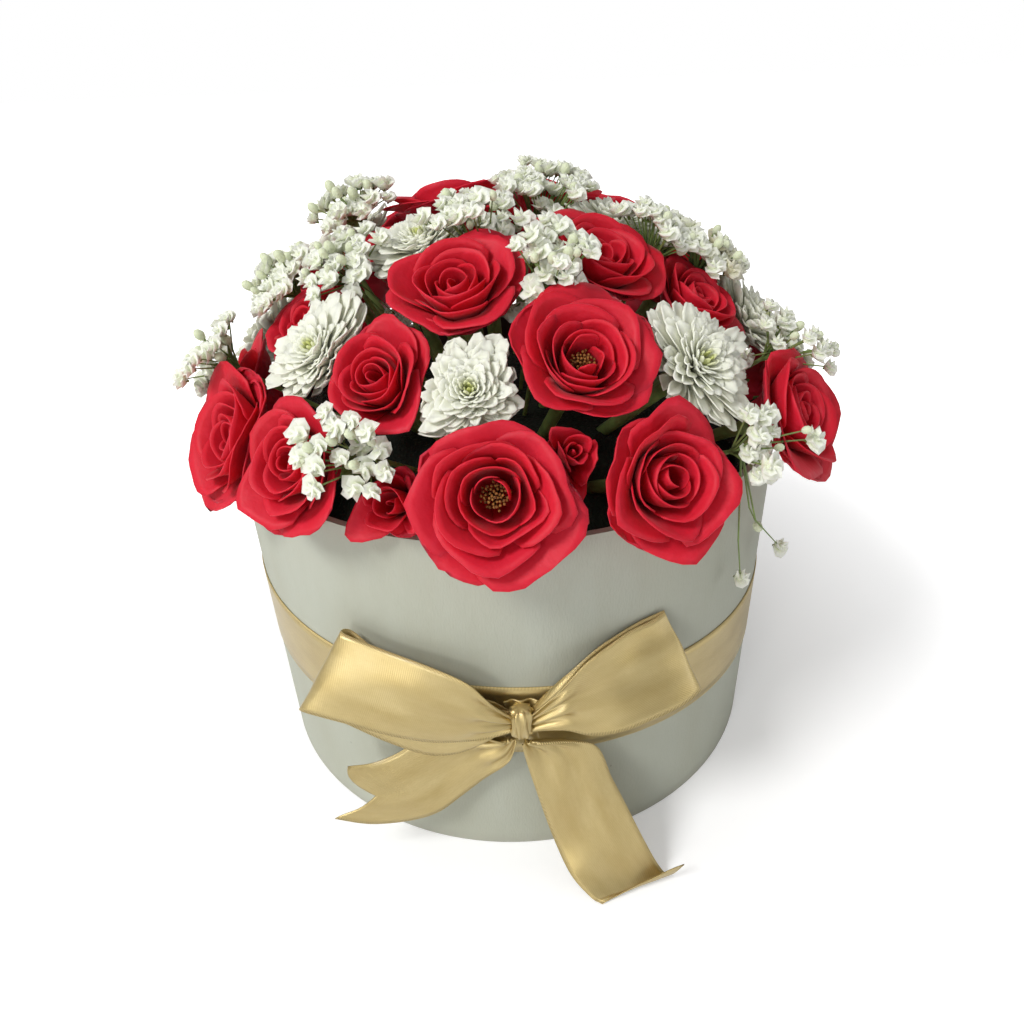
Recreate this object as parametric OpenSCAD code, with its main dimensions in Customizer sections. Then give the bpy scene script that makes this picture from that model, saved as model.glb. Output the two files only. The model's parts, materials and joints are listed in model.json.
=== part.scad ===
// Round flower box: a paper-covered drum tied with satin ribbon and planted with a dome of
// roses, chrysanthemums and gypsophila in a block of wet foam.
// Millimetres, +Z up. The origin is the centre of the base, on the surface it stands on.
// The bow faces -Y. Every flower leans out along a line from one focus on the drum's axis.

/* [Box] */
// Outside radius of the drum
box_r = 110; // [108:1:114]
// Height of the drum
box_h = 145; // [143:1:147]
// Thickness of the board wall
wall_t = 2.5; // [1.5:0.5:3]
// Thickness of the round base board
base_t = 2.5; // [1.5:0.5:3]
// Thickness of the dark paper lining
lining_t = 0.6; // [0.4:0.1:1]

/* [Foam and liner] */
// Clear distance between the lining and the waterproof film cup
film_gap = 8.1; // [6:0.1:9]
// Depth of the film cup's lip below the rim of the drum
film_drop = 13; // [11:1:25]
// Thickness of the film
film_t = 0.5; // [0.4:0.1:1]
// Depth of the foam block's shoulder below the rim of the drum
shoulder_drop = 27; // [23:1:33]
// Height of the foam block's crown above the rim of the drum
crown_rise = 5; // [0:1:10]

/* [Ribbon] */
// Width of the satin ribbon
ribbon_w = 32; // [28:1:34]
// Thickness of the satin ribbon
ribbon_t = 0.5; // [0.4:0.1:0.8]
// Height of the middle of the band round the drum
band_z = 69; // [66:1:72]
// Tilt of the band, lower on the right, in degrees
band_tilt = 3; // [0:0.5:4]

/* [Flowers] */
// Depth below the rim of the focus that every stem points away from
focus_drop = 49; // [47:1:51]
// Distance from the focus to the cut end of a stem
stem_start = 50; // [46:1:56]
// Radius of a rose or chrysanthemum stem
stem_r = 2.5; // [2:0.1:3]
// Radius of a gypsophila stem
sprig_r = 0.9; // [0.7:0.1:1.2]
// Clear distance that each flower keeps from the plane it shares with a neighbour
cell_gap = 0.3; // [0.2:0.05:0.6]
// Clear distance between a flower and the drum's rim
rim_gap = 4.5; // [3:0.5:6]

/* [Hidden] */

// Colours
BOARD = "#c9cbbd";
PAPER = "#3a2a22";
FILM = "#dfe8e6";
FOAM = "#3f6b3a";
SATIN = "#b39a5c";
CRIMSON = "#b81828";
WHITE = "#f0efe4";
GREEN = "#6f8f4a";

// Where the flowers stand: azimuth, elevation, distance of the face from the focus,
// petal reach, and the share of the space that the flower takes from its neighbours.
AZ = 0;
EL = 1;
STAND = 2;
REACH = 3;
SHARE = 4;

ROSES = [
    [-92, 31, 144, 28, 12], [-66, 30, 142, 27, 10], [-75, 47, 142, 28, 10], [-114, 45, 140, 24, 9],
    [-102, 60, 140, 26, 9], [-54, 64, 138, 25, 9], [-31, 52, 134, 22, 8], [-143, 31, 141, 27, 9],
    [-125, 32, 142, 26, 9], [-34, 30, 145, 28, 10], [-108, 84, 132, 25, 9], [-162, 70, 130, 20, 8],
    [-149, 51, 132, 20, 8], [178, 58, 130, 20, 8], [8, 54, 130, 24, 9], [-109, 29, 132, 20, 5],
    [-79, 36, 134, 20, 4], [-9, 30, 134, 28, 9], [47, 30, 136, 29, 10], [75, 30, 137, 29, 10],
    [131, 30, 137, 29, 10], [-172, 30, 129, 27, 10], [44, 53, 137, 29, 10], [116, 54, 137, 29, 10],
    [30, 77, 134, 27, 10], [125, 76, 134, 28, 10]
];
CHRYSANTHEMUMS = [
    [-130, 47, 138, 23, 7], [-96, 44, 138, 23, 7], [-51, 43, 138, 25, 8], [-126, 70, 134, 20, 7],
    [-16, 70, 132, 20, 8], [-14, 42, 134, 22, 7], [19, 30, 134, 27, 9], [103, 30, 135, 28, 9],
    [159, 30, 133, 27, 9], [80, 54, 135, 27, 9], [150, 52, 134, 27, 9]
];
SPRIGS = [
    [171, 66, 148, 9, 2], [-163, 53, 146, 9, 2], [-140, 60, 145, 9, 2], [-100, 73, 141, 9, 2],
    [-76, 61, 147, 9, 2], [-30, 82, 137, 9, 2], [-28, 62, 144, 9, 2], [-17, 55, 145, 9, 2],
    [-27, 38, 149, 9, 2], [-159, 38, 149, 9, 2], [-114, 35, 146, 9, 2], [-50, 30, 148, 9, 2]
];
PLANTED = concat(ROSES, CHRYSANTHEMUMS, SPRIGS);

inner_r = box_r - wall_t;
film_r = inner_r - lining_t - film_gap;
film_z = base_t + 0.05;
film_top = box_h - film_drop;
foam_r = film_r - film_t - 0.3;
foam_z = film_z + film_t;
foam_shoulder = box_h - shoulder_drop;
foam_crown = box_h + crown_rise;
crown_r = 60;
focus_z = box_h - focus_drop;
band_r = box_r + 0.05;
knot_out = 6;
knot_y = -box_r - knot_out;
knot_z = band_z + 6;
knot_r = 4.4;
knot_tall = 18;
// The gathered turn of ribbon behind the knot stands between it and the band
wrap_w = 16;
wrap_t = 2.5;
wrap_tall = 41;
wrap_drop = 24;
wrap_out = 3.2;
stem_sides = 12;
// A stem hole is this much wider than its stem, and starts this far below the cut end
hole_play = 0.2;
hole_drop = 0.2;
// The lining stops this far below the rim
lining_drop = 1;
// Past the rim a bloom may widen this much for each millimetre it rises
rim_flare = 1.3;
// A gypsophila sprig: the length that branches, its heads and its branches
spray = 16;
heads = 8;
head_r = 2.2;
head_rise = 1.6;
branch_r = 0.5;
branch_turn = 137.5;
// Room where nothing stands in the way
free = 1000;
// Satin never lies quite flat: its middle stands this far off its edges everywhere
ribbon_crown = 0.15;

// ---------------------------------------------------------------- flower cells

// Unit vector for an azimuth and an elevation
function heading(f) = [cos(f[EL]) * cos(f[AZ]), cos(f[EL]) * sin(f[AZ]), sin(f[EL])];

// A direction seen in the frame of flower f, whose own Z runs along its stem
function seen_from(f, v) = [
    v * [sin(f[EL]) * cos(f[AZ]), sin(f[EL]) * sin(f[AZ]), -cos(f[EL])],
    v * [-sin(f[AZ]), cos(f[AZ]), 0],
    v * heading(f)
];

// The plane between flower f and a neighbour g: the bearing of g, and how far the plane
// leans off f's stem. Together the planes make a wedge that only f moves in.
function border(f, g) = let (
    v = seen_from(f, heading(g)),
    apart = acos(min(1, v[2]))
) [atan2(v[1], v[0]), apart * f[SHARE] / (f[SHARE] + g[SHARE]), apart];
function borders(f) = [for (g = PLANTED) let (b = border(f, g)) if (b[2] > 1 && b[2] < 50) b];

// Room inside the borders at distance s along the stem, on bearing a
function cell_room(s, a, planes) = min([
    for (p = planes)
        let (c = cos(a - p[0]))
        c > 0.02 ? (s * sin(p[1]) - cell_gap) / (cos(p[1]) * c) : free
]);

// Room above the drum's rim at distance s along the stem, on bearing a
function rim_room(f, s, a) = let (
    s_rim = box_r * cos(f[EL]) + focus_drop * sin(f[EL]),
    d_rim = box_r * sin(f[EL]) - focus_drop * cos(f[EL])
) cos(a) > 0.2 ? (d_rim - rim_gap + rim_flare * max(0, s - s_rim - 1)) / cos(a) : free;

// ---------------------------------------------------------------- shared solids

// A closed skin over rings of equally many points, bottom ring first. In a thin sheet the
// second half of each ring lies behind the first, so its facets are split the other way to
// keep the two faces parallel.
module ring_skin(rings, sheet = false) {
    n = len(rings[0]);
    last = len(rings) - 1;
    points = [for (ring = rings) for (p = ring) p];
    sides = [
        for (k = [0 : last - 1])
            for (i = [0 : n - 1])
                let (a = k * n + i, b = k * n + (i + 1) % n, back = sheet && i >= n / 2)
                for (t = back ? [[a, a + n, b + n], [a, b + n, b]] : [[a, a + n, b], [b, a + n, b + n]]) t
    ];
    floor_face = [for (i = [0 : n - 1]) i];
    roof_face = [for (i = [n - 1 : -1 : 0]) last * n + i];
    polyhedron(points, concat(sides, [floor_face, roof_face]), convexity = 6);
}

// Stands its children on the focus, turned along flower f's stem
module along_stem(f) {
    translate([0, 0, focus_z])
        rotate([0, 90 - f[EL], f[AZ]])
            children();
}

// Point number i of n on a smooth curve through rows of numbers
function eased(rows, i, steps) = let (
    k = min(floor(i / steps), len(rows) - 2),
    t = i / steps - k,
    a = rows[max(k - 1, 0)],
    b = rows[k],
    c = rows[k + 1],
    d = rows[min(k + 2, len(rows) - 1)]
) 0.5 * (2 * b + (c - a) * t + (2 * a - 5 * b + 4 * c - d) * t * t
    + (3 * b - a - 3 * c + d) * t * t * t);

// A length of ribbon between two edges. Each row is [x, out, up, x, out, up, cup]: a place for
// each edge, out from the front of the drum and up from a level, and a cup that lifts the
// middle of the ribbon off the straight line between its edges.
module ribbon(rows, level, steps = 3) {
    last = (len(rows) - 1) * steps;
    curve = [for (i = [0 : last]) eased(rows, i, steps)];
    edge_a = [for (c = curve) [c[0], -box_r - c[1], level + c[2]]];
    edge_b = [for (c = curve) [c[3], -box_r - c[4], level + c[5]]];
    along = [
        for (i = [0 : last])
            let (h = min(i + 1, last), l = max(i - 1, 0))
            edge_a[h] + edge_b[h] - edge_a[l] - edge_b[l]
    ];
    out = [for (i = [0 : last]) let (v = cross(along[i], edge_b[i] - edge_a[i])) v / norm(v)];
    rings = [
        for (i = [0 : last])
            let (
                lift = out[i] * ribbon_t / 2,
                mid = (edge_a[i] + edge_b[i]) / 2 + out[i] * (curve[i][6] + ribbon_crown)
            )
            [
                edge_b[i] + lift, mid + lift, edge_a[i] + lift,
                edge_a[i] - lift, mid - lift, edge_b[i] - lift
            ]
    ];
    ring_skin(rings, sheet = true);
}

// ---------------------------------------------------------------- box

// Board tube that is the side of the drum
module box_wall() {
    color(BOARD)
        difference() {
            cylinder(r = box_r, h = box_h, $fn = 96);
            translate([0, 0, -1])
                cylinder(r = inner_r, h = box_h + 2, $fn = 96);
        }
}

// Round board glued inside the foot of the wall
module box_base() {
    color(BOARD)
        cylinder(r = inner_r, h = base_t, $fn = 96);
}

// Dark paper glued round the inside of the wall
module box_lining() {
    color(PAPER)
        difference() {
            translate([0, 0, base_t])
                cylinder(r = inner_r, h = box_h - base_t - lining_drop, $fn = 96);
            cylinder(r = inner_r - lining_t, h = box_h + 1, $fn = 96);
        }
}

// ---------------------------------------------------------------- water-holding core

// Waterproof film cup that the foam stands in
module liner_film() {
    color(FILM)
        difference() {
            translate([0, 0, film_z])
                cylinder(r = film_r, h = film_top - film_z, $fn = 96);
            translate([0, 0, foam_z])
                cylinder(r = film_r - film_t, h = film_top, $fn = 96);
        }
}

// Foam block cut with twelve sides and a sloped crown, pierced by every stem
module floral_foam() {
    color(FOAM)
        difference() {
            union() {
                translate([0, 0, foam_z])
                    cylinder(r = foam_r, h = foam_shoulder - foam_z, $fn = stem_sides);
                translate([0, 0, foam_shoulder])
                    cylinder(r1 = foam_r, r2 = crown_r, h = foam_crown - foam_shoulder,
                        $fn = stem_sides);
            }
            for (f = concat(ROSES, CHRYSANTHEMUMS))
                stem_hole(f, stem_r);
            for (f = SPRIGS)
                stem_hole(f, sprig_r);
        }
}

// The hole that one stem presses into the foam
module stem_hole(f, r) {
    along_stem(f)
        translate([0, 0, stem_start - hole_drop])
            cylinder(r = r + hole_play, h = film_r, $fn = stem_sides);
}

// ---------------------------------------------------------------- ribbon

// Band of ribbon round the drum, cut from a tube by two sloping planes
module ribbon_band() {
    color(SATIN)
        intersection() {
            difference() {
                cylinder(r = band_r + ribbon_t, h = box_h, $fn = 96);
                translate([0, 0, -1])
                    cylinder(r = band_r, h = box_h + 2, $fn = 96);
            }
            translate([0, 0, band_z])
                rotate([0, band_tilt, 0])
                    cube([3 * box_r, 3 * box_r, ribbon_w], center = true);
        }
}

// Knot of the bow with the gathered turn of ribbon behind it
module bow_knot() {
    color(SATIN)
        union() {
            hull() {
                for (x = [-1.5, 3.5])
                    translate([x, knot_y, knot_z - knot_tall / 2])
                        cylinder(r = knot_r, h = knot_tall, $fn = 24);
            }
            translate([-7, -box_r - wrap_out, knot_z - wrap_drop])
                cube([wrap_w, wrap_t, wrap_tall]);
        }
}

// Left loop: out along the front, round the fold, and back along the drum
module bow_loop_left() {
    color(SATIN)
        ribbon([
            [-6, 7, 5, -6, 6, -4, 0],
            [-10, 10, 15, -14, 8, -6, 0.5],
            [-17, 9, 22, -28, 9, -6, 1],
            [-29, 5, 26, -43, 9, -2, 1],
            [-43, -1, 28, -59, 6, 2, 1],
            [-56, -6, 31, -73, 3, 5, 0.5],
            [-59, -9, 31, -76, 0, 4, 0],
            [-56, -12, 28, -73, -3, 1, 0],
            [-46, -6, 22, -62, -2, -6, 0],
            [-34, -2, 16, -46, 1, -14, 0],
            [-20, 1, 10, -31, 2, -20, 0],
            [-10, 3, 7, -16, 4, -15, 0],
            [-6, 4, 4, -6, 4, -4, 0]
        ], knot_z);
}

// Right loop: rises more steeply and leans back on the drum
module bow_loop_right() {
    color(SATIN)
        ribbon([
            [8, 7, -3, 8, 7, 6, 0],
            [15, 8, -2, 15, 9, 18, -0.5],
            [24, 10, -4, 23, 6, 25, -1],
            [35, 11, -2, 31, 1, 28, -1],
            [46, 9, 1, 39, -4, 30, -1],
            [57, 5, 3, 47, -8, 31, -0.5],
            [64, 0, 5, 51, -11, 32, 0],
            [61, -3, 3, 49, -10, 32, 0],
            [52, -2, 0, 42, -7, 31, 0],
            [42, 0, -2, 34, -3, 29, 0],
            [31, 2, -4, 26, 0, 25, 0],
            [18, 4, -6, 16, 3, 16, 0],
            [8, 4, -3, 8, 4, 6, 0]
        ], knot_z);
}

// Left tail: passes behind the loop and ends in a long lower point
module bow_tail_left() {
    color(SATIN)
        ribbon([
            [-5, 6, -9.5, -1, 6, -9.5, 0],
            [-12, 3, -9, -4, 5, -21, 0],
            [-24, -1, -7, -14, 4, -32, 0],
            [-35, -1, -13, -23, 4, -41, 0],
            [-44, 0, -20, -32, 5, -48, 1],
            [-54, 1, -24, -43, 5, -52, 1],
            [-62, 2, -24, -58, 5, -53, 0],
            [-63, 2, -24, -71, 5, -49, 0]
        ], knot_z);
}

// Right tail: falls clear of the drum and runs out on the table
module bow_tail_right() {
    color(SATIN)
        ribbon([
            [1, 7, knot_z - 9.5, 6, 7, knot_z - 9.5, 0],
            [2, 7, knot_z - 18, 26, 5, knot_z - 14, 0],
            [5, 9, 44, 33, 8, 46, 1],
            [11, 13, 21, 38, 11, 35, 1],
            [17, 21, 9, 45, 15, 19, 0],
            [24, 26, 2, 51, 17, 6, 0],
            [29, 28, 0.5, 57, 20, 0.5, 0]
        ], 0);
}

// ---------------------------------------------------------------- flowers

// Stem, then swelling base, cup and furled face of a bloom. Each row of a profile is
// [height above the face, share of the petal reach, ripple of the radius, ripple of height].
ROSE_PROFILE = [
    [-27, 0.18, 0, 0], [-24, 0.30, 0, 0], [-18, 0.48, 0.02, 0], [-11, 0.76, 0.03, 0],
    [-6, 0.96, 0.06, 1], [-3.5, 1, 0.08, 2], [-3, 0.80, 0.06, 1], [0, 0.72, 0.05, 1],
    [-2, 0.54, 0.05, 1], [1, 0.46, 0.05, 1], [-3, 0.30, 0.04, 1], [-1, 0.22, 0.03, 1],
    [-6, 0.08, 0, 0]
];
CHRYSANTHEMUM_PROFILE = [
    [-22, 0.16, 0, 0], [-18, 0.34, 0, 0], [-12, 0.70, 0.03, 0], [-7, 0.94, 0.05, 0],
    [-5, 1, 0.06, 1], [-1, 0.84, 0.04, 1], [-2.5, 0.66, 0.02, 0], [1, 0.56, 0.03, 1],
    [-1, 0.40, 0.02, 0], [1.5, 0.32, 0.03, 0], [0, 0.10, 0, 0]
];

// One bloom and its stem as a single skin. Petals repeat round each ring, and each pair of
// rings is turned half a petal from the last, the way furled petals alternate.
module bloom(f, profile, petals, facets) {
    planes = borders(f);
    n = petals * facets;
    stem_rings = [
        for (s = [stem_start, f[STAND] + profile[0][0] - 4])
            [for (i = [0 : n - 1]) let (a = 360 * i / n) [stem_r * cos(a), stem_r * sin(a), s]]
    ];
    head_rings = [
        for (k = [0 : len(profile) - 1])
            let (row = profile[k], turn = floor(k / 2) * 180)
            [
                for (i = [0 : n - 1])
                    let (
                        a = 360 * i / n,
                        wave = cos(petals * a + turn),
                        s = f[STAND] + row[0] - row[3] * (1 + wave) / 2,
                        wish = f[REACH] * (row[1] + row[2] * wave),
                        rim = sqrt(row[1]) * rim_room(f, s, a),
                        r = min(wish, row[1] * cell_room(s, a, planes), rim)
                    )
                    [max(r, stem_r / 2) * cos(a), max(r, stem_r / 2) * sin(a), s]
            ]
    ];
    along_stem(f)
        ring_skin(concat(stem_rings, head_rings));
}

module rose(i) {
    color(CRIMSON)
        bloom(ROSES[i - 1], ROSE_PROFILE, 5, 3);
}

module chrysanthemum(i) {
    color(WHITE)
        bloom(CHRYSANTHEMUMS[i - 1], CHRYSANTHEMUM_PROFILE, 7, 2);
}

// A gypsophila sprig: one stem with small round heads on short branches
module gypsophila(i) {
    f = SPRIGS[i - 1];
    planes = borders(f);
    fork = f[STAND] - spray;
    color(GREEN)
        along_stem(f) {
            translate([0, 0, stem_start])
                cylinder(r = sprig_r, h = fork + 1 - stem_start, $fn = stem_sides);
            for (k = [0 : heads - 1])
                let (
                    a = branch_turn * k,
                    s = fork + 4 + head_rise * k,
                    r = k == heads - 1 ? 0 : min(f[REACH], cell_room(s - 2, a, planes)) - head_r
                )
                branch(fork - 3 + k, [max(r, 0) * cos(a), max(r, 0) * sin(a), s]);
        }
}

// One branch from height z on the stem to a round head at point p
module branch(z, p) {
    start = [0, 0, z];
    reach = norm(p - start);
    color(GREEN)
        translate(start)
            rotate([0, acos((p[2] - z) / reach), atan2(p[1], p[0])])
                cylinder(r = branch_r, h = reach, $fn = 5);
    color(WHITE)
        translate(p)
            sphere(r = head_r, $fn = 6);
}

box_wall();
box_base();
box_lining();
liner_film();
floral_foam();
ribbon_band();
bow_knot();
bow_loop_left();
bow_loop_right();
bow_tail_left();
bow_tail_right();
rose(1);  // rose_01
rose(2);  // rose_02
rose(3);  // rose_03
rose(4);  // rose_04
rose(5);  // rose_05
rose(6);  // rose_06
rose(7);  // rose_07
rose(8);  // rose_08
rose(9);  // rose_09
rose(10);  // rose_10
rose(11);  // rose_11
rose(12);  // rose_12
rose(13);  // rose_13
rose(14);  // rose_14
rose(15);  // rose_15
rose(16);  // rose_16
rose(17);  // rose_17
rose(18);  // rose_18
rose(19);  // rose_19
rose(20);  // rose_20
rose(21);  // rose_21
rose(22);  // rose_22
rose(23);  // rose_23
rose(24);  // rose_24
rose(25);  // rose_25
rose(26);  // rose_26
chrysanthemum(1);  // chrysanthemum_01
chrysanthemum(2);  // chrysanthemum_02
chrysanthemum(3);  // chrysanthemum_03
chrysanthemum(4);  // chrysanthemum_04
chrysanthemum(5);  // chrysanthemum_05
chrysanthemum(6);  // chrysanthemum_06
chrysanthemum(7);  // chrysanthemum_07
chrysanthemum(8);  // chrysanthemum_08
chrysanthemum(9);  // chrysanthemum_09
chrysanthemum(10);  // chrysanthemum_10
chrysanthemum(11);  // chrysanthemum_11
gypsophila(1);  // gypsophila_01
gypsophila(2);  // gypsophila_02
gypsophila(3);  // gypsophila_03
gypsophila(4);  // gypsophila_04
gypsophila(5);  // gypsophila_05
gypsophila(6);  // gypsophila_06
gypsophila(7);  // gypsophila_07
gypsophila(8);  // gypsophila_08
gypsophila(9);  // gypsophila_09
gypsophila(10);  // gypsophila_10
gypsophila(11);  // gypsophila_11
gypsophila(12);  // gypsophila_12
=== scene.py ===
"""Dresses a round flower box: satin bow, petals, florets, paper and foam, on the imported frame.

Sizes are in millimetres where a name ends in _mm, and in metres everywhere else. Every bloom
is shaped in its own space: Z runs out along its stem from the focus inside the drum.
"""

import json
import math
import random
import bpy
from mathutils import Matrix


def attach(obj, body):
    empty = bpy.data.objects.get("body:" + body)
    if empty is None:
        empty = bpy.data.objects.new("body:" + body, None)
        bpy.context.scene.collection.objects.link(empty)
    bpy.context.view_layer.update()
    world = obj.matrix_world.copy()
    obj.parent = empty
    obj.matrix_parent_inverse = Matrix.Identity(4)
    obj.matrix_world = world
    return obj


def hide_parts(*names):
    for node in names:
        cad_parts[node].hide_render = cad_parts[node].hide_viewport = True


bl_info = {
    "name": "Flower Box",
    "version": (1, 0, 0),
    "blender": (4, 5, 0),
    "location": "View3D > Sidebar > Flower Box",
    "description": "Petals, florets, satin bow and paper finishes for a round flower box",
    "category": "Object",
}

import bmesh
import bpy
from mathutils import Matrix, Vector, noise

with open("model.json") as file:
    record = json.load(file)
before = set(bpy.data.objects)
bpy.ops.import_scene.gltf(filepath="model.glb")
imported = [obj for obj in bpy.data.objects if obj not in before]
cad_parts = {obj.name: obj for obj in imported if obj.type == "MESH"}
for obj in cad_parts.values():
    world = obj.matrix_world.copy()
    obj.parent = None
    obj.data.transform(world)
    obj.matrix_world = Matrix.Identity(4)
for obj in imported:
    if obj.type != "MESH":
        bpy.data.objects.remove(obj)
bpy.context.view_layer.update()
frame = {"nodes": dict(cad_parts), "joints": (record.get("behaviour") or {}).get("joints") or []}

MM = 0.001
GOLDEN = math.radians(137.508)
FOCUS = Vector((0, 0, 0.096))
STEMS = {j["child"]: Vector(j["axis"]) for j in frame["joints"] if j["name"].endswith("_pull")}


def linear(code):
    """A colour written as six hexadecimal digits, in linear light"""
    parts = [int(code[i : i + 2], 16) / 255 for i in (0, 2, 4)]
    return tuple(c / 12.92 if c <= 0.04045 else ((c + 0.055) / 1.055) ** 2.4 for c in parts)


def smooth(low, high, x):
    """0 below low, 1 above high, and an easy curve between"""
    t = min(1, max(0, (x - low) / (high - low)))
    return t * t * (3 - 2 * t)


def mixed(a, b, t):
    """Two lists of numbers blended"""
    return [p + (q - p) * t for p, q in zip(a, b)]


# ------------------------------------------------------------------ settings


def colour(name, description, code):
    """A colour setting"""
    return bpy.props.FloatVectorProperty(
        name=name, description=description, subtype="COLOR", size=3, min=0, max=1, default=linear(code)
    )


def length(name, description, default):
    """A size setting, in metres"""
    return bpy.props.FloatProperty(
        name=name, description=description, default=default, min=0, unit="LENGTH", precision=4
    )


def power(name, description, default):
    """A lamp's power setting, in watts"""
    return bpy.props.FloatProperty(
        name=name, description=description, default=default, min=0, unit="POWER"
    )


class DrumSettings(bpy.types.PropertyGroup):
    paper: colour("Paper", "Wrap on the outside of the drum", "b2b5a8")
    lining: colour("Lining", "Paper inside the drum", "3a2b22")
    film: colour("Film", "Waterproof cup round the foam", "dfe8e2")
    foam: colour("Foam", "Wet floral foam", "182216")


class RibbonSettings(bpy.types.PropertyGroup):
    satin: colour("Satin", "Face of the ribbon", "d6c38c")
    # The shade colour is the satin as it looks in shade: painted shade where it is mixed in streaks
    # along the ribbon, and the real colour of the floating threads and woven edges
    shade: colour("Shade", "Ribbon in its deeper threads", "b59d60")
    width: length("Width", "Width of the ribbon", 0.032)
    thickness: length("Thickness", "Thickness of the ribbon", 0.0004)


class RoseSettings(bpy.types.PropertyGroup):
    face: colour("Face", "Upper side of a petal", "ff384f")
    # Painted shade: the heart colour is laid on the foot of every petal and on the young inner petals,
    # where shade falls deep in the bloom
    heart: colour("Heart", "Base of a petal, deep in the bloom", "cc182c")
    reverse: colour("Reverse", "Under side of a petal", "f5445a")
    petals: bpy.props.IntProperty(
        name="Petals", description="Petals in one rose", default=25, min=8, max=40
    )
    thickness: length("Petal thickness", "Thickness of a rose petal", 0.00035)


class ChrysanthemumSettings(bpy.types.PropertyGroup):
    petal: colour("Petal", "Open part of a petal", "f5f6ee")
    centre: colour("Centre", "Young petals in the middle", "b9c060")
    petals: bpy.props.IntProperty(
        name="Petals", description="Petals in one chrysanthemum", default=130, min=40, max=200
    )
    thickness: length("Petal thickness", "Thickness of a petal", 0.0004)


class GypsophilaSettings(bpy.types.PropertyGroup):
    floret: colour("Floret", "Ruffled white florets", "f3f5e6")
    twig: colour("Twig", "Stems, calyces and closed buds", "7c9350")
    size: length("Floret size", "Radius of an open floret", 0.0036)


class StageSettings(bpy.types.PropertyGroup):
    key: power("Key", "Power of the main lamp", 32)
    fill: power("Fill", "Power of the low lamp in front, which lights the folds of the satin", 4)
    side: power("Side", "Power of the small lamp on the right", 1.3)
    sky: bpy.props.FloatProperty(
        name="Sky", description="Even light from all round", default=0.41, min=0, max=2
    )


# ------------------------------------------------------------------ node helpers


def place(tree, kind, inputs=None, **settings):
    """A node with its settings, its unlinked values and its links in one go"""
    node = tree.nodes.new(kind)
    for key, value in settings.items():
        setattr(node, key, value)
    for key, value in (inputs or {}).items():
        socket = node.inputs[key]
        if isinstance(value, bpy.types.NodeSocket):
            tree.links.new(value, socket)
        elif socket.type == "RGBA" and len(value) == 3:
            socket.default_value = (*value, 1)
        else:
            socket.default_value = value
    return node


def sums(tree, operation, a, b=0.0, c=0.0):
    """The result of one Math node"""
    return place(tree, "ShaderNodeMath", {0: a, 1: b, 2: c}, operation=operation).outputs[0]


def spread(tree, value, low, high, to_low=0.0, to_high=1.0):
    """A value moved from one range to another, held inside it"""
    keys = {"Value": value, "From Min": low, "From Max": high, "To Min": to_low, "To Max": to_high}
    return place(tree, "ShaderNodeMapRange", keys, clamp=True).outputs["Result"]


def dye(tree, factor, a, b, blend="MIX"):
    """Two colours mixed"""
    node = place(tree, "ShaderNodeMix", data_type="RGBA", blend_type=blend)
    for socket, value in ((node.inputs[0], factor), (node.inputs[6], a), (node.inputs[7], b)):
        if isinstance(value, bpy.types.NodeSocket):
            tree.links.new(value, socket)
        else:
            plain = not hasattr(value, "__len__") or len(value) != 3
            socket.default_value = value if plain else (*value, 1)
    return node.outputs[2]


def grain(tree, vector, scale, detail=3.0, rough=0.55):
    """Fractal noise at a scale in cycles a metre, or a UV unit"""
    keys = {"Vector": vector, "Scale": scale, "Detail": detail, "Roughness": rough}
    return place(tree, "ShaderNodeTexNoise", keys).outputs["Fac"]


def stretched(tree, vector, x=1.0, y=1.0, z=1.0):
    """A vector scaled on each axis"""
    return place(tree, "ShaderNodeMapping", {"Vector": vector, "Scale": (x, y, z)}).outputs[0]


def where(tree):
    """Object coordinates"""
    return place(tree, "ShaderNodeTexCoord").outputs["Object"]


def sewn(tree, name):
    """A piece's own UV map"""
    return place(tree, "ShaderNodeUVMap", uv_map=name).outputs["UV"]


def scaled(shade, *factors):
    """A colour with its red, green and blue each scaled, up to full strength"""
    return tuple(min(1, c * f) for c, f in zip(shade, factors * 3 if len(factors) == 1 else factors))


def tone(tree):
    """The red, green and blue of a bloom's own colour attribute"""
    attribute = place(tree, "ShaderNodeAttribute", attribute_name="Tone")
    return place(tree, "ShaderNodeSeparateColor", {"Color": attribute.outputs["Color"]}).outputs


def raised(tree, height, distance, strength=1.0):
    """A bumped normal"""
    keys = {"Height": height, "Distance": distance, "Strength": strength}
    return place(tree, "ShaderNodeBump", keys).outputs["Normal"]


def finish(name, **constants):
    """A new material: its node tree and its shader, with the values that are the same all over"""
    material = bpy.data.materials.new(name)
    material.use_nodes = True
    tree = material.node_tree
    tree.nodes.clear()
    shader = place(tree, "ShaderNodeBsdfPrincipled")
    for key, value in constants.items():
        label = key.replace("_", " ").title().replace("Ior", "IOR")
        shader.inputs[label].default_value = value
    place(tree, "ShaderNodeOutputMaterial", {"Surface": shader.outputs[0]})
    return material, tree, shader


def wire(tree, shader, **sockets):
    """Links outputs into the shader's sockets"""
    for key, value in sockets.items():
        tree.links.new(value, shader.inputs[key.replace("_", " ").title()])


def group(name, build, inputs, outputs):
    """A shader node group with named inputs and outputs, built once"""
    made = bpy.data.node_groups.get(name)
    if made:
        return made
    made = bpy.data.node_groups.new(name, "ShaderNodeTree")
    for label, kind, value in inputs:
        socket = made.interface.new_socket(name=label, in_out="INPUT", socket_type=kind)
        if value is not None:
            socket.default_value = value
    for label in outputs:
        made.interface.new_socket(name=label, in_out="OUTPUT", socket_type="NodeSocketFloat")
    source = place(made, "NodeGroupInput")
    place(made, "NodeGroupOutput", build(made, source.outputs))
    return made


def grouped(tree, made, **values):
    """The outputs of a group placed in a material with its own values"""
    keys = {key.replace("_", " ").title(): value for key, value in values.items()}
    return place(tree, "ShaderNodeGroup", keys, node_tree=made).outputs


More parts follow.
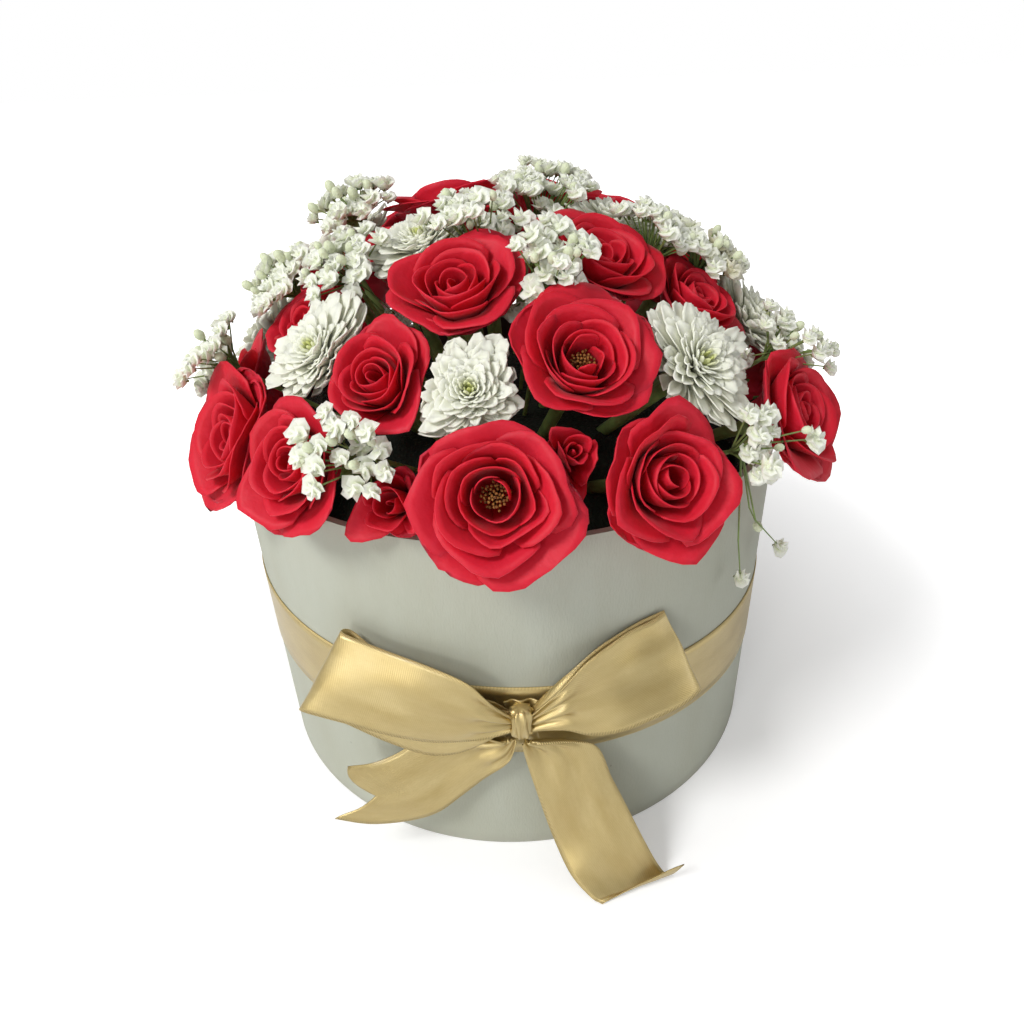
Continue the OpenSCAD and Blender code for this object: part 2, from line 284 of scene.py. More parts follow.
def mottle_group():
    """Cloudy patches with a fine grain over them"""

    def build(tree, given):
        clouds = grain(tree, given["Vector"], given["Patch Scale"], 4.0, 0.6)
        fine = grain(tree, given["Vector"], given["Grain Scale"], 2.0, 0.5)
        patches = spread(tree, clouds, 0.34, 0.66)
        both = sums(tree, "MULTIPLY_ADD", fine, given["Grain Share"], patches)
        return {"Mask": both, "Height": sums(tree, "MULTIPLY_ADD", patches, 0.35, fine)}

    inputs = [
        ("Vector", "NodeSocketVector", None),
        ("Patch Scale", "NodeSocketFloat", 20.0),
        ("Grain Scale", "NodeSocketFloat", 900.0),
        ("Grain Share", "NodeSocketFloat", 0.3),
    ]
    return group("Mottle", build, inputs, ["Mask", "Height"])


def mottled(tree, vector, patch_scale, grain_scale, grain_share):
    """The cloudy patches placed in a material"""
    sizes = {"patch_scale": patch_scale, "grain_scale": grain_scale, "grain_share": grain_share}
    return grouped(tree, mottle_group(), vector=vector, **sizes)


def vein_group():
    """Veins that fan out from the foot of a petal: U runs across it and V up it"""

    def build(tree, given):
        split = place(tree, "ShaderNodeSeparateXYZ", {0: given["Vector"]}).outputs
        opening = sums(tree, "MULTIPLY_ADD", split["Y"], 0.75, 0.3)
        across = sums(tree, "DIVIDE", sums(tree, "SUBTRACT", split["X"], 0.5), opening)
        up = sums(tree, "MULTIPLY", split["Y"], 0.09)
        fan = place(tree, "ShaderNodeCombineXYZ", {0: across, 1: up})
        fine = grain(tree, fan.outputs[0], given["Fineness"], 3.0, 0.6)
        veins = spread(tree, fine, 0.36, 0.62)
        return {"Mask": veins, "Height": sums(tree, "MULTIPLY", veins, split["Y"])}

    inputs = [("Vector", "NodeSocketVector", None), ("Fineness", "NodeSocketFloat", 26.0)]
    return group("Petal veins", build, inputs, ["Mask", "Height"])


# ------------------------------------------------------------------ finishes


def paper_finish(drum):
    """Cream-grey paper wrap: cloudy patches stretched into upright streaks, partly the paper's own
    mottle and partly painted reflections and shade, faintly fibrous, with a lap joint down the back
    """
    material, tree, shader = finish("Drum paper", specular_ior_level=0.35)
    spot = where(tree)
    mottle_and_reflection_streaks = stretched(tree, spot, 1, 1, 0.3)
    cloth = mottled(tree, mottle_and_reflection_streaks, 22.0, 1400.0, 0.25)
    fibre = grain(tree, stretched(tree, spot, 1, 1, 0.25), 520.0, 2.0)
    base = tuple(drum.paper)
    warm = scaled(base, 0.90, 0.88, 0.82)
    cool = scaled(base, 1.04, 1.05, 1.05)
    # Partly painted reflections and shade: the cloudy patches, stretched upright, mix a darker warm and
    # a brighter cool copy of the paper
    colours = dye(tree, sums(tree, "MULTIPLY", cloth["Mask"], 0.75), warm, cool)
    colours = dye(tree, spread(tree, fibre, 0.62, 0.75, 0, 0.10), colours, (0.42, 0.40, 0.33))
    flecks = place(tree, "ShaderNodeTexVoronoi", {"Vector": spot, "Scale": 70.0}).outputs["Distance"]
    sparse = grain(tree, spot, 23.0, 1.0)
    few = spread(tree, sparse, 0.60, 0.66)
    speck = sums(tree, "MULTIPLY", spread(tree, flecks, 0.03, 0.05, 1, 0), few)
    colours = dye(tree, sums(tree, "MULTIPLY", speck, 0.55), colours, (0.16, 0.13, 0.10))
    split = place(tree, "ShaderNodeSeparateXYZ", {0: spot}).outputs
    back = spread(tree, split["Y"], 0.0, 0.01)
    aside = sums(tree, "ABSOLUTE", split["X"])
    lap = sums(tree, "MULTIPLY", back, spread(tree, aside, 0.0004, 0.0009, 1, 0))
    colours = dye(tree, sums(tree, "MULTIPLY", lap, 0.5), colours, (0.30, 0.28, 0.23))
    foot = spread(tree, split["Z"], 0.0, 0.006, 0.35, 0)
    colours = dye(tree, foot, colours, (0.33, 0.31, 0.26))
    height = sums(tree, "SUBTRACT", sums(tree, "MULTIPLY_ADD", fibre, 0.5, cloth["Height"]), lap)
    wire(tree, shader, base_color=colours, normal=raised(tree, height, 0.00012))
    wire(tree, shader, roughness=spread(tree, cloth["Mask"], 0, 1.2, 0.52, 0.66))
    return material


def lining_finish(drum):
    """Dark brown paper"""
    material, tree, shader = finish("Dark lining", specular_ior_level=0.3)
    cloth = mottled(tree, where(tree), 40.0, 1100.0, 0.4)
    base = tuple(drum.lining)
    colours = dye(tree, cloth["Mask"], scaled(base, 0.7), scaled(base, 1.35))
    wire(tree, shader, base_color=colours, normal=raised(tree, cloth["Height"], 0.00015))
    wire(tree, shader, roughness=spread(tree, cloth["Mask"], 0, 1.2, 0.6, 0.78))
    return material


def film_finish(drum):
    """Clear crinkled waterproof film"""
    material, tree, shader = finish("Clear film", roughness=0.2, specular_ior_level=0.5)
    spot = where(tree)
    crinkle = grain(tree, stretched(tree, spot, 1, 1, 0.35), 55.0, 4.0, 0.65)
    base = tuple(drum.film)
    colours = dye(tree, spread(tree, crinkle, 0.4, 0.6), scaled(base, 0.8), base)
    wire(tree, shader, base_color=colours, normal=raised(tree, crinkle, 0.002))
    wire(tree, shader, alpha=spread(tree, crinkle, 0.4, 0.65, 0.08, 0.30))
    return material


def foam_finish(drum):
    """Wet foam: fine open cells, with painted shade in the pits"""
    material, tree, shader = finish("Wet foam", specular_ior_level=0.4)
    spot = where(tree)
    cells = place(tree, "ShaderNodeTexVoronoi", {"Vector": spot, "Scale": 620.0}).outputs["Distance"]
    cloth = mottled(tree, spot, 60.0, 900.0, 0.3)
    base = tuple(drum.foam)
    colours = dye(tree, cloth["Mask"], scaled(base, 0.55), base)
    # Painted shade: the colour darkens to a quarter of the foam colour in the pits of the cells
    colours = dye(tree, spread(tree, cells, 0.1, 0.5, 0.7, 0), colours, scaled(base, 0.25))
    height = sums(tree, "MULTIPLY_ADD", cloth["Height"], 0.4, cells)
    wire(tree, shader, base_color=colours, normal=raised(tree, height, 0.0006))
    wire(tree, shader, roughness=spread(tree, cells, 0.1, 0.6, 0.75, 0.92))
    return material


def satin_finish(ribbon):
    """Gold satin: a fine slanting weave, long floating threads and ribbed woven edges, with painted
    shade in long streaks along the ribbon
    """
    material, tree, shader = finish(
        "Gold satin",
        metallic=0.85,
        specular_ior_level=0.8,
        coat_weight=0.5,
        coat_roughness=0.28,
    )
    weave = sewn(tree, "Weave")
    split = place(tree, "ShaderNodeSeparateXYZ", {0: weave}).outputs
    slant = sums(tree, "MULTIPLY_ADD", split["X"], 0.7, split["Y"])
    keys = {"Vector": place(tree, "ShaderNodeCombineXYZ", {0: slant}).outputs[0], "Scale": 420.0}
    keys.update({"Distortion": 0.4, "Detail": 1.0})
    bands = {"wave_type": "BANDS", "bands_direction": "X"}
    twill = place(tree, "ShaderNodeTexWave", keys, **bands).outputs["Fac"]
    floats = grain(tree, stretched(tree, weave, 6, 0.35, 1), 1700.0, 2.0)
    painted_shade_streaks = grain(tree, stretched(tree, weave, 1, 0.3, 1), 120.0, 3.0)
    half = ribbon.width / 2
    middle = sums(tree, "ABSOLUTE", sums(tree, "SUBTRACT", split["X"], half))
    edge = spread(tree, middle, half - 0.0013, half - 0.0010)
    keys = {"Vector": place(tree, "ShaderNodeCombineXYZ", {0: split["Y"]}).outputs[0], "Scale": 650.0}
    ribs = place(tree, "ShaderNodeTexWave", keys, **bands).outputs["Fac"]
    face, deep = tuple(ribbon.satin), tuple(ribbon.shade)
    # Painted shade: a shaded copy of the satin mixed in by long streaks along the ribbon
    colours = dye(tree, spread(tree, painted_shade_streaks, 0.2, 0.8), deep, face)
    colours = dye(tree, sums(tree, "MULTIPLY", twill, 0.15), colours, scaled(face, 1.3))
    colours = dye(tree, spread(tree, floats, 0.45, 0.62, 0, 0.25), colours, deep)
    rim = dye(tree, ribs, scaled(deep, 0.8), scaled(face, 1.2))
    colours = dye(tree, edge, colours, rim)
    fine = sums(tree, "MULTIPLY_ADD", floats, 0.6, twill)
    height = sums(tree, "MULTIPLY_ADD", sums(tree, "MULTIPLY", edge, ribs), 2.0, fine)
    wire(tree, shader, base_color=colours, normal=raised(tree, height, 0.00004))
    soft = sums(tree, "MULTIPLY_ADD", floats, 0.10, spread(tree, painted_shade_streaks, 0.2, 0.8, 0.28, 0.33))
    wire(tree, shader, roughness=sums(tree, "MULTIPLY_ADD", edge, 0.2, soft))
    return material


def rose_finish(roses, reverse):
    """Velvety petal: painted shade at its foot and on the young inner petals, a painted highlight along
    its edge, finely veined
    """
    name = "Rose petal reverse" if reverse else "Rose petal"
    material, tree, shader = finish(
        name,
        sheen_weight=0.10 if reverse else 0.16,
        sheen_tint=(1, 0.45, 0.45, 1),
        sheen_roughness=0.35,
        specular_ior_level=0.28,
        subsurface_weight=0.25,
        subsurface_radius=(0.006, 0.0010, 0.0010),
        subsurface_scale=0.5,
    )
    map_ = sewn(tree, "Petal")
    split = place(tree, "ShaderNodeSeparateXYZ", {0: map_}).outputs
    veins = grouped(tree, vein_group(), vector=map_, fineness=30.0)
    own = tone(tree)
    face = tuple(roses.reverse if reverse else roses.face)
    highlight_and_blotch = scaled(face, 1.16, 1.35, 1.35)
    # Painted shade: the foot of the petal is in the heart colour, turning to the face colour up the
    # petal
    rise = spread(tree, split["Y"], 0.05, 0.65)
    colours = dye(tree, rise, tuple(roses.heart), face)
    # Painted highlight: the top fifth of the petal, up to its edge, is mixed towards a brighter pink
    edge = sums(tree, "MULTIPLY", spread(tree, split["Y"], 0.80, 1.0), 0.55)
    colours = dye(tree, edge, colours, highlight_and_blotch)
    colours = dye(tree, sums(tree, "MULTIPLY", veins["Mask"], 0.12), colours, scaled(face, 0.6))
    # Painted shade: the young inner petals are darkened further towards the heart colour
    young = spread(tree, own["Red"], 0.0, 0.45, 0.3, 0)
    colours = dye(tree, young, colours, tuple(roses.heart))
    shift = spread(tree, own["Green"], 0, 1, 0, 0.22)
    colours = dye(tree, shift, colours, scaled(face, 0.72, 0.6, 0.8))
    blotch = grain(tree, where(tree), 160.0, 3.0)
    colours = dye(tree, spread(tree, blotch, 0.55, 0.75, 0, 0.20), colours, highlight_and_blotch)
    tip = spread(tree, split["Y"], 0.86, 0.98)
    bruise = sums(tree, "MULTIPLY", spread(tree, blotch, 0.70, 0.76), tip)
    colours = dye(tree, sums(tree, "MULTIPLY", bruise, 0.7), colours, (0.10, 0.01, 0.015))
    height = sums(tree, "MULTIPLY_ADD", blotch, 1.6, veins["Height"])
    wire(tree, shader, base_color=colours, normal=raised(tree, height, 0.0003))
    wire(tree, shader, roughness=spread(tree, veins["Mask"], 0, 1, 0.50, 0.60))
    return material


def chrysanthemum_finish(chrysanthemums):
    """Translucent white petal, yellow-green while it is young"""
    material, tree, shader = finish(
        "Chrysanthemum petal",
        specular_ior_level=0.35,
        subsurface_weight=0.35,
        subsurface_radius=(0.004, 0.004, 0.0032),
        subsurface_scale=0.5,
        sheen_weight=0.05,
    )
    map_ = sewn(tree, "Petal")
    split = place(tree, "ShaderNodeSeparateXYZ", {0: map_}).outputs
    veins = grouped(tree, vein_group(), vector=map_, fineness=9.0)
    own = tone(tree)
    petal, centre = tuple(chrysanthemums.petal), tuple(chrysanthemums.centre)
    grey = scaled(petal, 0.86, 0.80, 0.80)
    colours = dye(tree, sums(tree, "MULTIPLY", veins["Mask"], 0.3), petal, grey)
    faded = spread(tree, own["Green"], 0.2, 1, 0, 0.5)
    old = sums(tree, "MULTIPLY", spread(tree, own["Red"], 0.7, 1.0), faded)
    colours = dye(tree, old, colours, scaled(petal, 0.80, 0.68, 0.68))
    foot = spread(tree, split["Y"], 0.0, 0.25, 0.4, 0)
    colours = dye(tree, foot, colours, scaled(petal, 0.80, 0.82, 0.60))
    colours = dye(tree, spread(tree, own["Red"], 0.02, 0.20, 0.9, 0), colours, centre)
    wire(tree, shader, base_color=colours, normal=raised(tree, veins["Height"], 0.0004))
    wire(tree, shader, roughness=spread(tree, veins["Mask"], 0, 1, 0.46, 0.58))
    return material


def stem_finish(gypsophilas):
    """Green stems, sepals and calyces, paler and redder in places"""
    material, tree, shader = finish("Green stem", specular_ior_level=0.45, subsurface_weight=0.05)
    spot = where(tree)
    cloth = mottled(tree, spot, 90.0, 1200.0, 0.3)
    base = tuple(gypsophilas.twig)
    colours = dye(tree, cloth["Mask"], scaled(base, 0.45), base)
    brown = spread(tree, grain(tree, spot, 60.0, 2.0), 0.56, 0.72, 0, 0.5)
    colours = dye(tree, brown, colours, (0.20, 0.13, 0.05))
    wire(tree, shader, base_color=colours, normal=raised(tree, cloth["Height"], 0.0002))
    wire(tree, shader, roughness=spread(tree, cloth["Mask"], 0, 1.2, 0.42, 0.6))
    return material


STAMEN_DARK = "43200f"
STAMEN_PALE = "a8763a"
FLORET_BUD_AND_HOLLOW_SHADE = "b4bf8c"
FLORET_DRY = "a89a6e"


def stamen_finish():
    """Brown-gold stamens"""
    material, tree, shader = finish("Rose stamen", specular_ior_level=0.3)
    dust = grain(tree, where(tree), 1500.0, 2.0)
    colours = dye(tree, spread(tree, dust, 0.35, 0.65), linear(STAMEN_DARK), linear(STAMEN_PALE))
    wire(tree, shader, base_color=colours, normal=raised(tree, dust, 0.0002))
    wire(tree, shader, roughness=spread(tree, dust, 0.3, 0.7, 0.6, 0.85))
    return material


def floret_finish(gypsophilas):
    """Ruffled white floret, with painted green-grey shade in the hollows between its petals; closed
    buds take the same green tint
    """
    material, tree, shader = finish(
        "Gypsophila floret",
        specular_ior_level=0.3,
        subsurface_weight=0.5,
        subsurface_radius=(0.004, 0.004, 0.0035),
        subsurface_scale=0.6,
    )
    own = tone(tree)
    crimp = grain(tree, where(tree), 900.0, 2.0)
    base = tuple(gypsophilas.floret)
    colours = dye(tree, spread(tree, crimp, 0.35, 0.6, 0.25, 0), base, scaled(base, 0.8))
    # Painted shade: the hollows of a floret, where its vertices are pulled in, turn green-grey; buds,
    # pulled in nowhere, take the same green
    colours = dye(tree, spread(tree, own["Red"], 0.4, 1.05, 0.55, 0), colours, linear(FLORET_BUD_AND_HOLLOW_SHADE))
    dry = spread(tree, own["Blue"], 0.5, 1.0, 0, 0.7)
    colours = dye(tree, dry, colours, linear(FLORET_DRY))
    wire(tree, shader, base_color=colours, normal=raised(tree, crimp, 0.0002))
    wire(tree, shader, roughness=spread(tree, crimp, 0.3, 0.7, 0.55, 0.7))
    return material


def settled(name, build, *given):
    """A finish that several pieces share, built the first time it is asked for"""
    return bpy.data.materials.get(name) or build(*given)


# ------------------------------------------------------------------ pieces


def piece(name, bm, finishes, body, nodes=(), crisp=False):
    """A finished object that rides on a body, and stands for some nodes"""
    mesh = bpy.data.meshes.new(name)
    if not crisp:
        for face in bm.faces:
            face.smooth = True
    bm.to_mesh(mesh)
    bm.free()
    for material in finishes:
        mesh.materials.append(material)
    made = bpy.data.objects.new(name, mesh)
    bpy.context.scene.collection.objects.link(made)
    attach(made, body)
    if nodes:
        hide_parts(*nodes)
    return made


def thicken(made, thickness, offset, face=0):
    """Gives a piece of petals or ribbon its thickness, with other finishes for its far side"""
    wall = made.modifiers.new("Thickness", "SOLIDIFY")
    wall.thickness = thickness
    wall.offset = offset
    wall.material_offset = face
    wall.material_offset_rim = face


def refinish(node, material):
    """A new material on a node of the frame"""
    target = frame["nodes"][node]
    if not target.material_slots:
        raise RuntimeError(f"{node} has no material slot")
    for held in target.material_slots:
        held.link = "OBJECT"
        held.material = material


# In millimetres along a stem: just above its cut end, from the focus, and half a floret
CUT_END = 20
FLORET_HALF = 2.5

# A floret that starts inside a head is lifted in up to seven steps of 2 mm
LIFT_STEPS = 7
LIFT = 0.002


class Bloom:
    """Where one flower stands, and the room that its node's skin gives its petals"""

    def __init__(self, name):
        self.name = name
        self.seed = sum(ord(c) * (i + 7) for i, c in enumerate(name))
        self.dice = random.Random(self.seed)
        axis = STEMS[name].normalized()
        side = Vector((-axis.y, axis.x, 0)).normalized()
        out = side.cross(axis)
        turn = Matrix((out, side, axis)).transposed().to_4x4()
        self.stand = Matrix.Translation(FOCUS) @ turn
        self.skin = {}
        home = self.stand.inverted()
        for vert in frame["nodes"][name].data.vertices:
            spot = home @ vert.co / MM
            bearing = round(math.degrees(math.atan2(spot.y, spot.x))) % 360
            ring = (round(spot.z, 3), round(math.hypot(spot.x, spot.y), 3))
            self.skin.setdefault(bearing, set()).add(ring)
        self.face = max(s for rings in self.skin.values() for s, _ in rings)
        for bearing, rings in self.skin.items():
            widest = max(rings, key=lambda ring: ring[1])
            outer = []
            for ring in sorted(ring for ring in rings if ring[0] <= widest[0]):
                if not outer or ring[1] >= outer[-1][1]:
                    outer.append(ring)
            self.skin[bearing] = outer
        self.bearings = sorted(self.skin)
        self.reach = sorted(rings[-1][1] for rings in self.skin.values())[len(self.skin) // 2]

    def room_at(self, bearing, s):
        """Radius of the skin on one bearing, at a distance from the focus"""
        rings = self.skin[bearing]
        if s >= rings[-1][0]:
            return rings[-1][1] * s / rings[-1][0]
        for (low, r_low), (high, r_high) in zip(rings, rings[1:]):
            if s <= high:
                return r_low + (r_high - r_low) * max(0, s - low) / max(high - low, 1e-6)
        return rings[-1][1]

    def room(self, angle, s):
        """The same on any bearing, between the two that the skin has"""
        turn = math.degrees(angle) % 360
        after = next((b for b in self.bearings if b > turn), self.bearings[0] + 360)
        before = max((b for b in self.bearings if b <= turn), default=self.bearings[-1] - 360)
        share = (turn - before) / (after - before)
        return self.room_at(before % 360, s) * (1 - share) + self.room_at(after % 360, s) * share

    def at(self, radius, angle, height):
        """A point at a height above the bloom's face, in metres, drawn out or pressed to its room"""
        s = self.face + height
        room = self.room(angle, s)
        full = self.reach * s / self.face
        fitted = radius * (1 + (min(2.0, room / full) - 1) * smooth(0.15, 0.9, radius / full))
        fitted = min(fitted, room)
        s += 0.25 * max(0, radius - fitted)
        spot = Vector((fitted * math.cos(angle), fitted * math.sin(angle), s)) * MM
        return self.stand @ spot

    def holds(self, spot):
        """Whether a point lies under the bloom's face, inside its room"""
        own = self.stand.inverted() @ spot / MM
        if not CUT_END < own.z < self.face + FLORET_HALF:
            return False
        return math.hypot(own.x, own.y) < self.room(math.atan2(own.y, own.x), own.z) + 1


def bezier(points, t):
    """Radius and height on a curve with four handles"""
    (a, b, c, d), k = points, 1 - t
    weights = (k * k * k, 3 * k * k * t, 3 * k * t * t, t * t * t)
    return [sum(w * p[i] for w, p in zip(weights, (a, b, c, d))) for i in (0, 1)]


def petal_blank(bm, across, along):
    """A flat petal blank with its map: gives each vertex with u from -1 to 1 and v from 0 to 1"""
    layer = bm.loops.layers.uv.verify()
    made = bmesh.ops.create_grid(bm, x_segments=across, y_segments=along, size=1.0)["verts"]
    spots = [(vert, vert.co.x, (vert.co.y + 1) / 2) for vert in made]
    for vert, u, v in spots:
        for loop in vert.link_loops:
            loop[layer].uv = (u / 2 + 0.5, v)
    return spots


def coat(verts, index):
    """The faces on some vertices get the piece's other finish"""
    for face in {face for vert in verts for face in vert.link_faces}:
        face.material_index = index


def dab(verts, layer, shade):
    """One colour on every corner of some vertices"""
    for vert in verts:
        for loop in vert.link_loops:
            loop[layer] = shade


# Parts of a rose
HEART_PETALS = 3
STAMENS = 46
SEPALS = 5
SEPAL_LENGTH = 15
SEPAL_DROP = -24
SEPAL_THICKNESS = 0.0004
SMALL_ROSE = 18

# Middle line of a rose petal from its foot to its edge, [radius, height] in millimetres
# on a rose that reaches 28 mm: in the bud, halfway out, and outside
BUD_LINE = [(1.0, -20), (5.2, -14), (4.8, -6), (2.4, -1.5)]
MIDDLE_LINE = [(3, -22), (12.5, -18), (15.8, -9), (15.2, 0)]
OUTER_LINE = [(4, -24), (16, -21), (27, -12.5), (37, -8.5)]
ROSE_REACH = 28

# How far each rose has opened, from a furled bud to a bare heart
OPENED = {
    "rose_01": 0.95, "rose_02": 0.25, "rose_03": 1.0, "rose_04": 0.3, "rose_05": 0.6,
    "rose_06": 0.7, "rose_07": 0.5, "rose_08": 0.6, "rose_09": 0.45, "rose_10": 0.6,
    "rose_11": 0.7, "rose_16": 0.6, "rose_19": 0.5, "rose_21": 0.7, "rose_24": 0.6,
}


def rose_petal(bloom, bm, age, turn, opened, hand, narrow=1.0):
    """One rose petal, from the heart at age 0 to the outside at age 1"""
    dice = bloom.dice
    line = [
        mixed(a, b, age * 2) if age < 0.5 else mixed(b, c, age * 2 - 1)
        for a, b, c in zip(BUD_LINE, MIDDLE_LINE, OUTER_LINE)
    ]
    scale = bloom.reach / ROSE_REACH
    drop = dice.uniform(-1.6, 1.0) * (0.5 + 0.5 * age) - 4.0 * opened * max(0, 1 - 2 * age)
    wide = narrow * (1.8 - 1.3 * age if age < 0.5 else 1.3 - 0.3 * age) * dice.uniform(0.94, 1.08)
    curl = (0.6 + 3.8 * smooth(0.1, 0.7, age)) * dice.uniform(0.7, 1.4)
    point = 0.16 * smooth(0.4, 0.9, age) * dice.uniform(0.5, 1.4)
    wave, phase = (0.25 + 1.6 * age * age) * dice.uniform(0.4, 1.5), dice.uniform(0, 6.3)
    waves = dice.choice([0.7, 1.1, 1.5])
    tilt = dice.uniform(-1.3, 1.3)
    spots = petal_blank(bm, 12, 12)
    for vert, u, v in spots:
        side = abs(u)
        up = v * (1 - 0.15 * side**2.6) + point * smooth(0.6, 1, v) * max(0, 1 - side / 0.5) ** 1.3
        shape = 0.45 + 0.55 * math.sin(math.pi / 2 * min(1, v / 0.6)) - 0.14 * smooth(0.75, 1.05, v)
        angle = turn + u * wide * shape
        radius, height = bezier(line, up)
        ahead = bezier(line, up + 0.04)
        slope = Vector((ahead[0] - radius, ahead[1] - height)).normalized()
        under = Vector((slope.y, -slope.x))
        free = max(0, up - 0.72) / 0.28
        roll = curl * free * free * (0.7 + 0.5 * side * side)
        lip = 1.1 * age * smooth(0.72, 1, side) * smooth(0.3, 0.9, v)
        ripple = wave * math.sin(waves * math.pi * u + phase) * smooth(0.5, 1, v)
        dent = noise.noise((0.8 * u + bloom.seed, 1.1 * v + 9 * turn, age * 5))
        away = roll + lip + ripple + (0.5 + 1.1 * age) * dent * smooth(0.3, 0.9, v)
        radius += under.x * away - slope.x * roll * free * 0.25 + hand * u * 0.4
        height += under.y * away - slope.y * roll * free * 0.25 + tilt * u * v
        vert.co = bloom.at(max(0.3, radius * scale), angle, height + drop - 1.0)
    return [vert for vert, _, _ in spots]


def grow_rose(bloom, settings, finishes):
    """The petals of one rose as one piece, and its stem, sepals and stamens as another"""
    opened = OPENED.get(bloom.name, 0.4)
    dice = bloom.dice
    bm = bmesh.new()
    layer = bm.loops.layers.float_color.new("Tone")
    first = dice.uniform(0, 6.28)
    hand = dice.choice([-1, 1])
    start = 0.20 * smooth(0.6, 1.0, opened)
    count = settings.petals if bloom.reach > SMALL_ROSE else settings.petals // 2
    for k in range(count):
        age = start + (1 - start) * (k / (count - 1)) ** 0.85
        turn = first + hand * k * GOLDEN + dice.uniform(-0.2, 0.2)
        verts = rose_petal(bloom, bm, age, turn, opened, hand)
        # Red carries the petal's age, which the rose finish turns into painted shade on the young inner
        # petals
        dab(verts, layer, (age, dice.random(), dice.random(), 1))
    if opened > 0.8:
        for k in range(HEART_PETALS):
            turn = first + 1.3 + k * 1.5
            verts = rose_petal(bloom, bm, 0.06 + 0.05 * k, turn, 0.5, hand, 0.55)
            dab(verts, layer, (0.6, dice.random(), 0, 1))
    name, sides = bloom.name, [finishes["reverse"], finishes["face"]]
    petals = piece(name + "_petals", bm, sides, name, [name])
    thicken(petals, settings.thickness, -1, 1)
    bm = bmesh.new()
    grow_stem(bloom, bm, bloom.face + SEPAL_DROP, 2.4, 3.6)
    for k in range(SEPALS):
        sepal(bloom, bm, first + k * 1.2566)
    green = set(bm.verts)
    if opened > 0.8:
        for k in range(STAMENS):
            stamen(bloom, bm, k, dice)
    coat([vert for vert in bm.verts if vert not in green], 1)
    bmesh.ops.recalc_face_normals(bm, faces=bm.faces)
    piece(name + "_stem", bm, [finishes["stem"], finishes["stamen"]], name)


def grow_stem(bloom, bm, top, radius, swell):
    """A stem from its cut end to the foot of the bloom, where it swells"""
    foot = min(s for rings in bloom.skin.values() for s, _ in rings) + 0.2
    bmesh.ops.create_cone(
        bm, cap_ends=True, segments=12, radius1=radius, radius2=radius, depth=1.0,
        matrix=Matrix.Translation((0, 0, 0.5)),
    )
    upright = [edge for edge in bm.edges if abs(edge.verts[0].co.z - edge.verts[1].co.z) > 0.5]
    bmesh.ops.subdivide_edges(bm, edges=upright, cuts=11, use_grid_fill=False)
    for vert in bm.verts:
        share = vert.co.z
        s = foot + (top - foot) * share
        wide = 1 + (swell / radius - 1) * smooth(0.9, 1.0, share)
        spot = Vector((vert.co.x * wide, vert.co.y * wide, s)) * MM
        vert.co = bloom.stand @ spot


def sepal(bloom, bm, turn):
    """A narrow pointed green leaf under the bloom"""
    droop = bloom.dice.uniform(-1, 4)
    spots = petal_blank(bm, 4, 6)
    for vert, u, v in spots:
        narrow = 2.6 * (1 - v) ** 0.8 + 0.15
        radius = 2.6 + SEPAL_LENGTH * v * 0.9
        level = SEPAL_DROP + 6 * v - droop * v * v + 0.6 * u * u
        fan = math.atan2(u * narrow, max(radius, 1))
        vert.co = bloom.at(math.hypot(radius, u * narrow), turn + fan, level)
    held = {vert for vert, _, _ in spots}
    skin = [face for face in bm.faces if face.verts[0] in held]
    bmesh.ops.solidify(bm, geom=skin, thickness=SEPAL_THICKNESS)


def stamen(bloom, bm, k, dice):
    """A thin filament with a rounded anther"""
    radius = 4.4 * math.sqrt((k + 0.5) / STAMENS) * dice.uniform(0.8, 1.1)
    angle = k * GOLDEN
    foot = bloom.at(radius * 0.4, angle, -16)
    tip = bloom.at(radius, angle, -8.5 - 0.35 * radius + dice.uniform(-0.8, 0.8))
    twig(bm, foot, tip, 0.00018, 0.00012)
    bmesh.ops.create_icosphere(bm, subdivisions=1, radius=0.00055, matrix=Matrix.Translation(tip))


def twig(bm, foot, tip, thick, thin, sides=5):
    """A straight tapering twig between two points"""
    line = tip - foot
    turn = line.to_track_quat("Z", "Y").to_matrix().to_4x4()
    return bmesh.ops.create_cone(
        bm, cap_ends=True, segments=sides, radius1=thick, radius2=thin, depth=line.length,
        matrix=Matrix.Translation((foot + tip) / 2) @ turn,
    )["verts"]


# Middle line of a chrysanthemum petal, on a flower that reaches 28 mm
YOUNG_LINE = [(0.4, -5), (1.6, -3.5), (2.0, -1.0), (0.7, 0.2)]
HALF_LINE = [(3.0, -8), (7.0, -4.5), (10.5, -1.5), (15.0, -0.5)]
OLD_LINE = [(4.0, -14), (12.0, -12.5), (23.0, -7.5), (34.0, -6.5)]


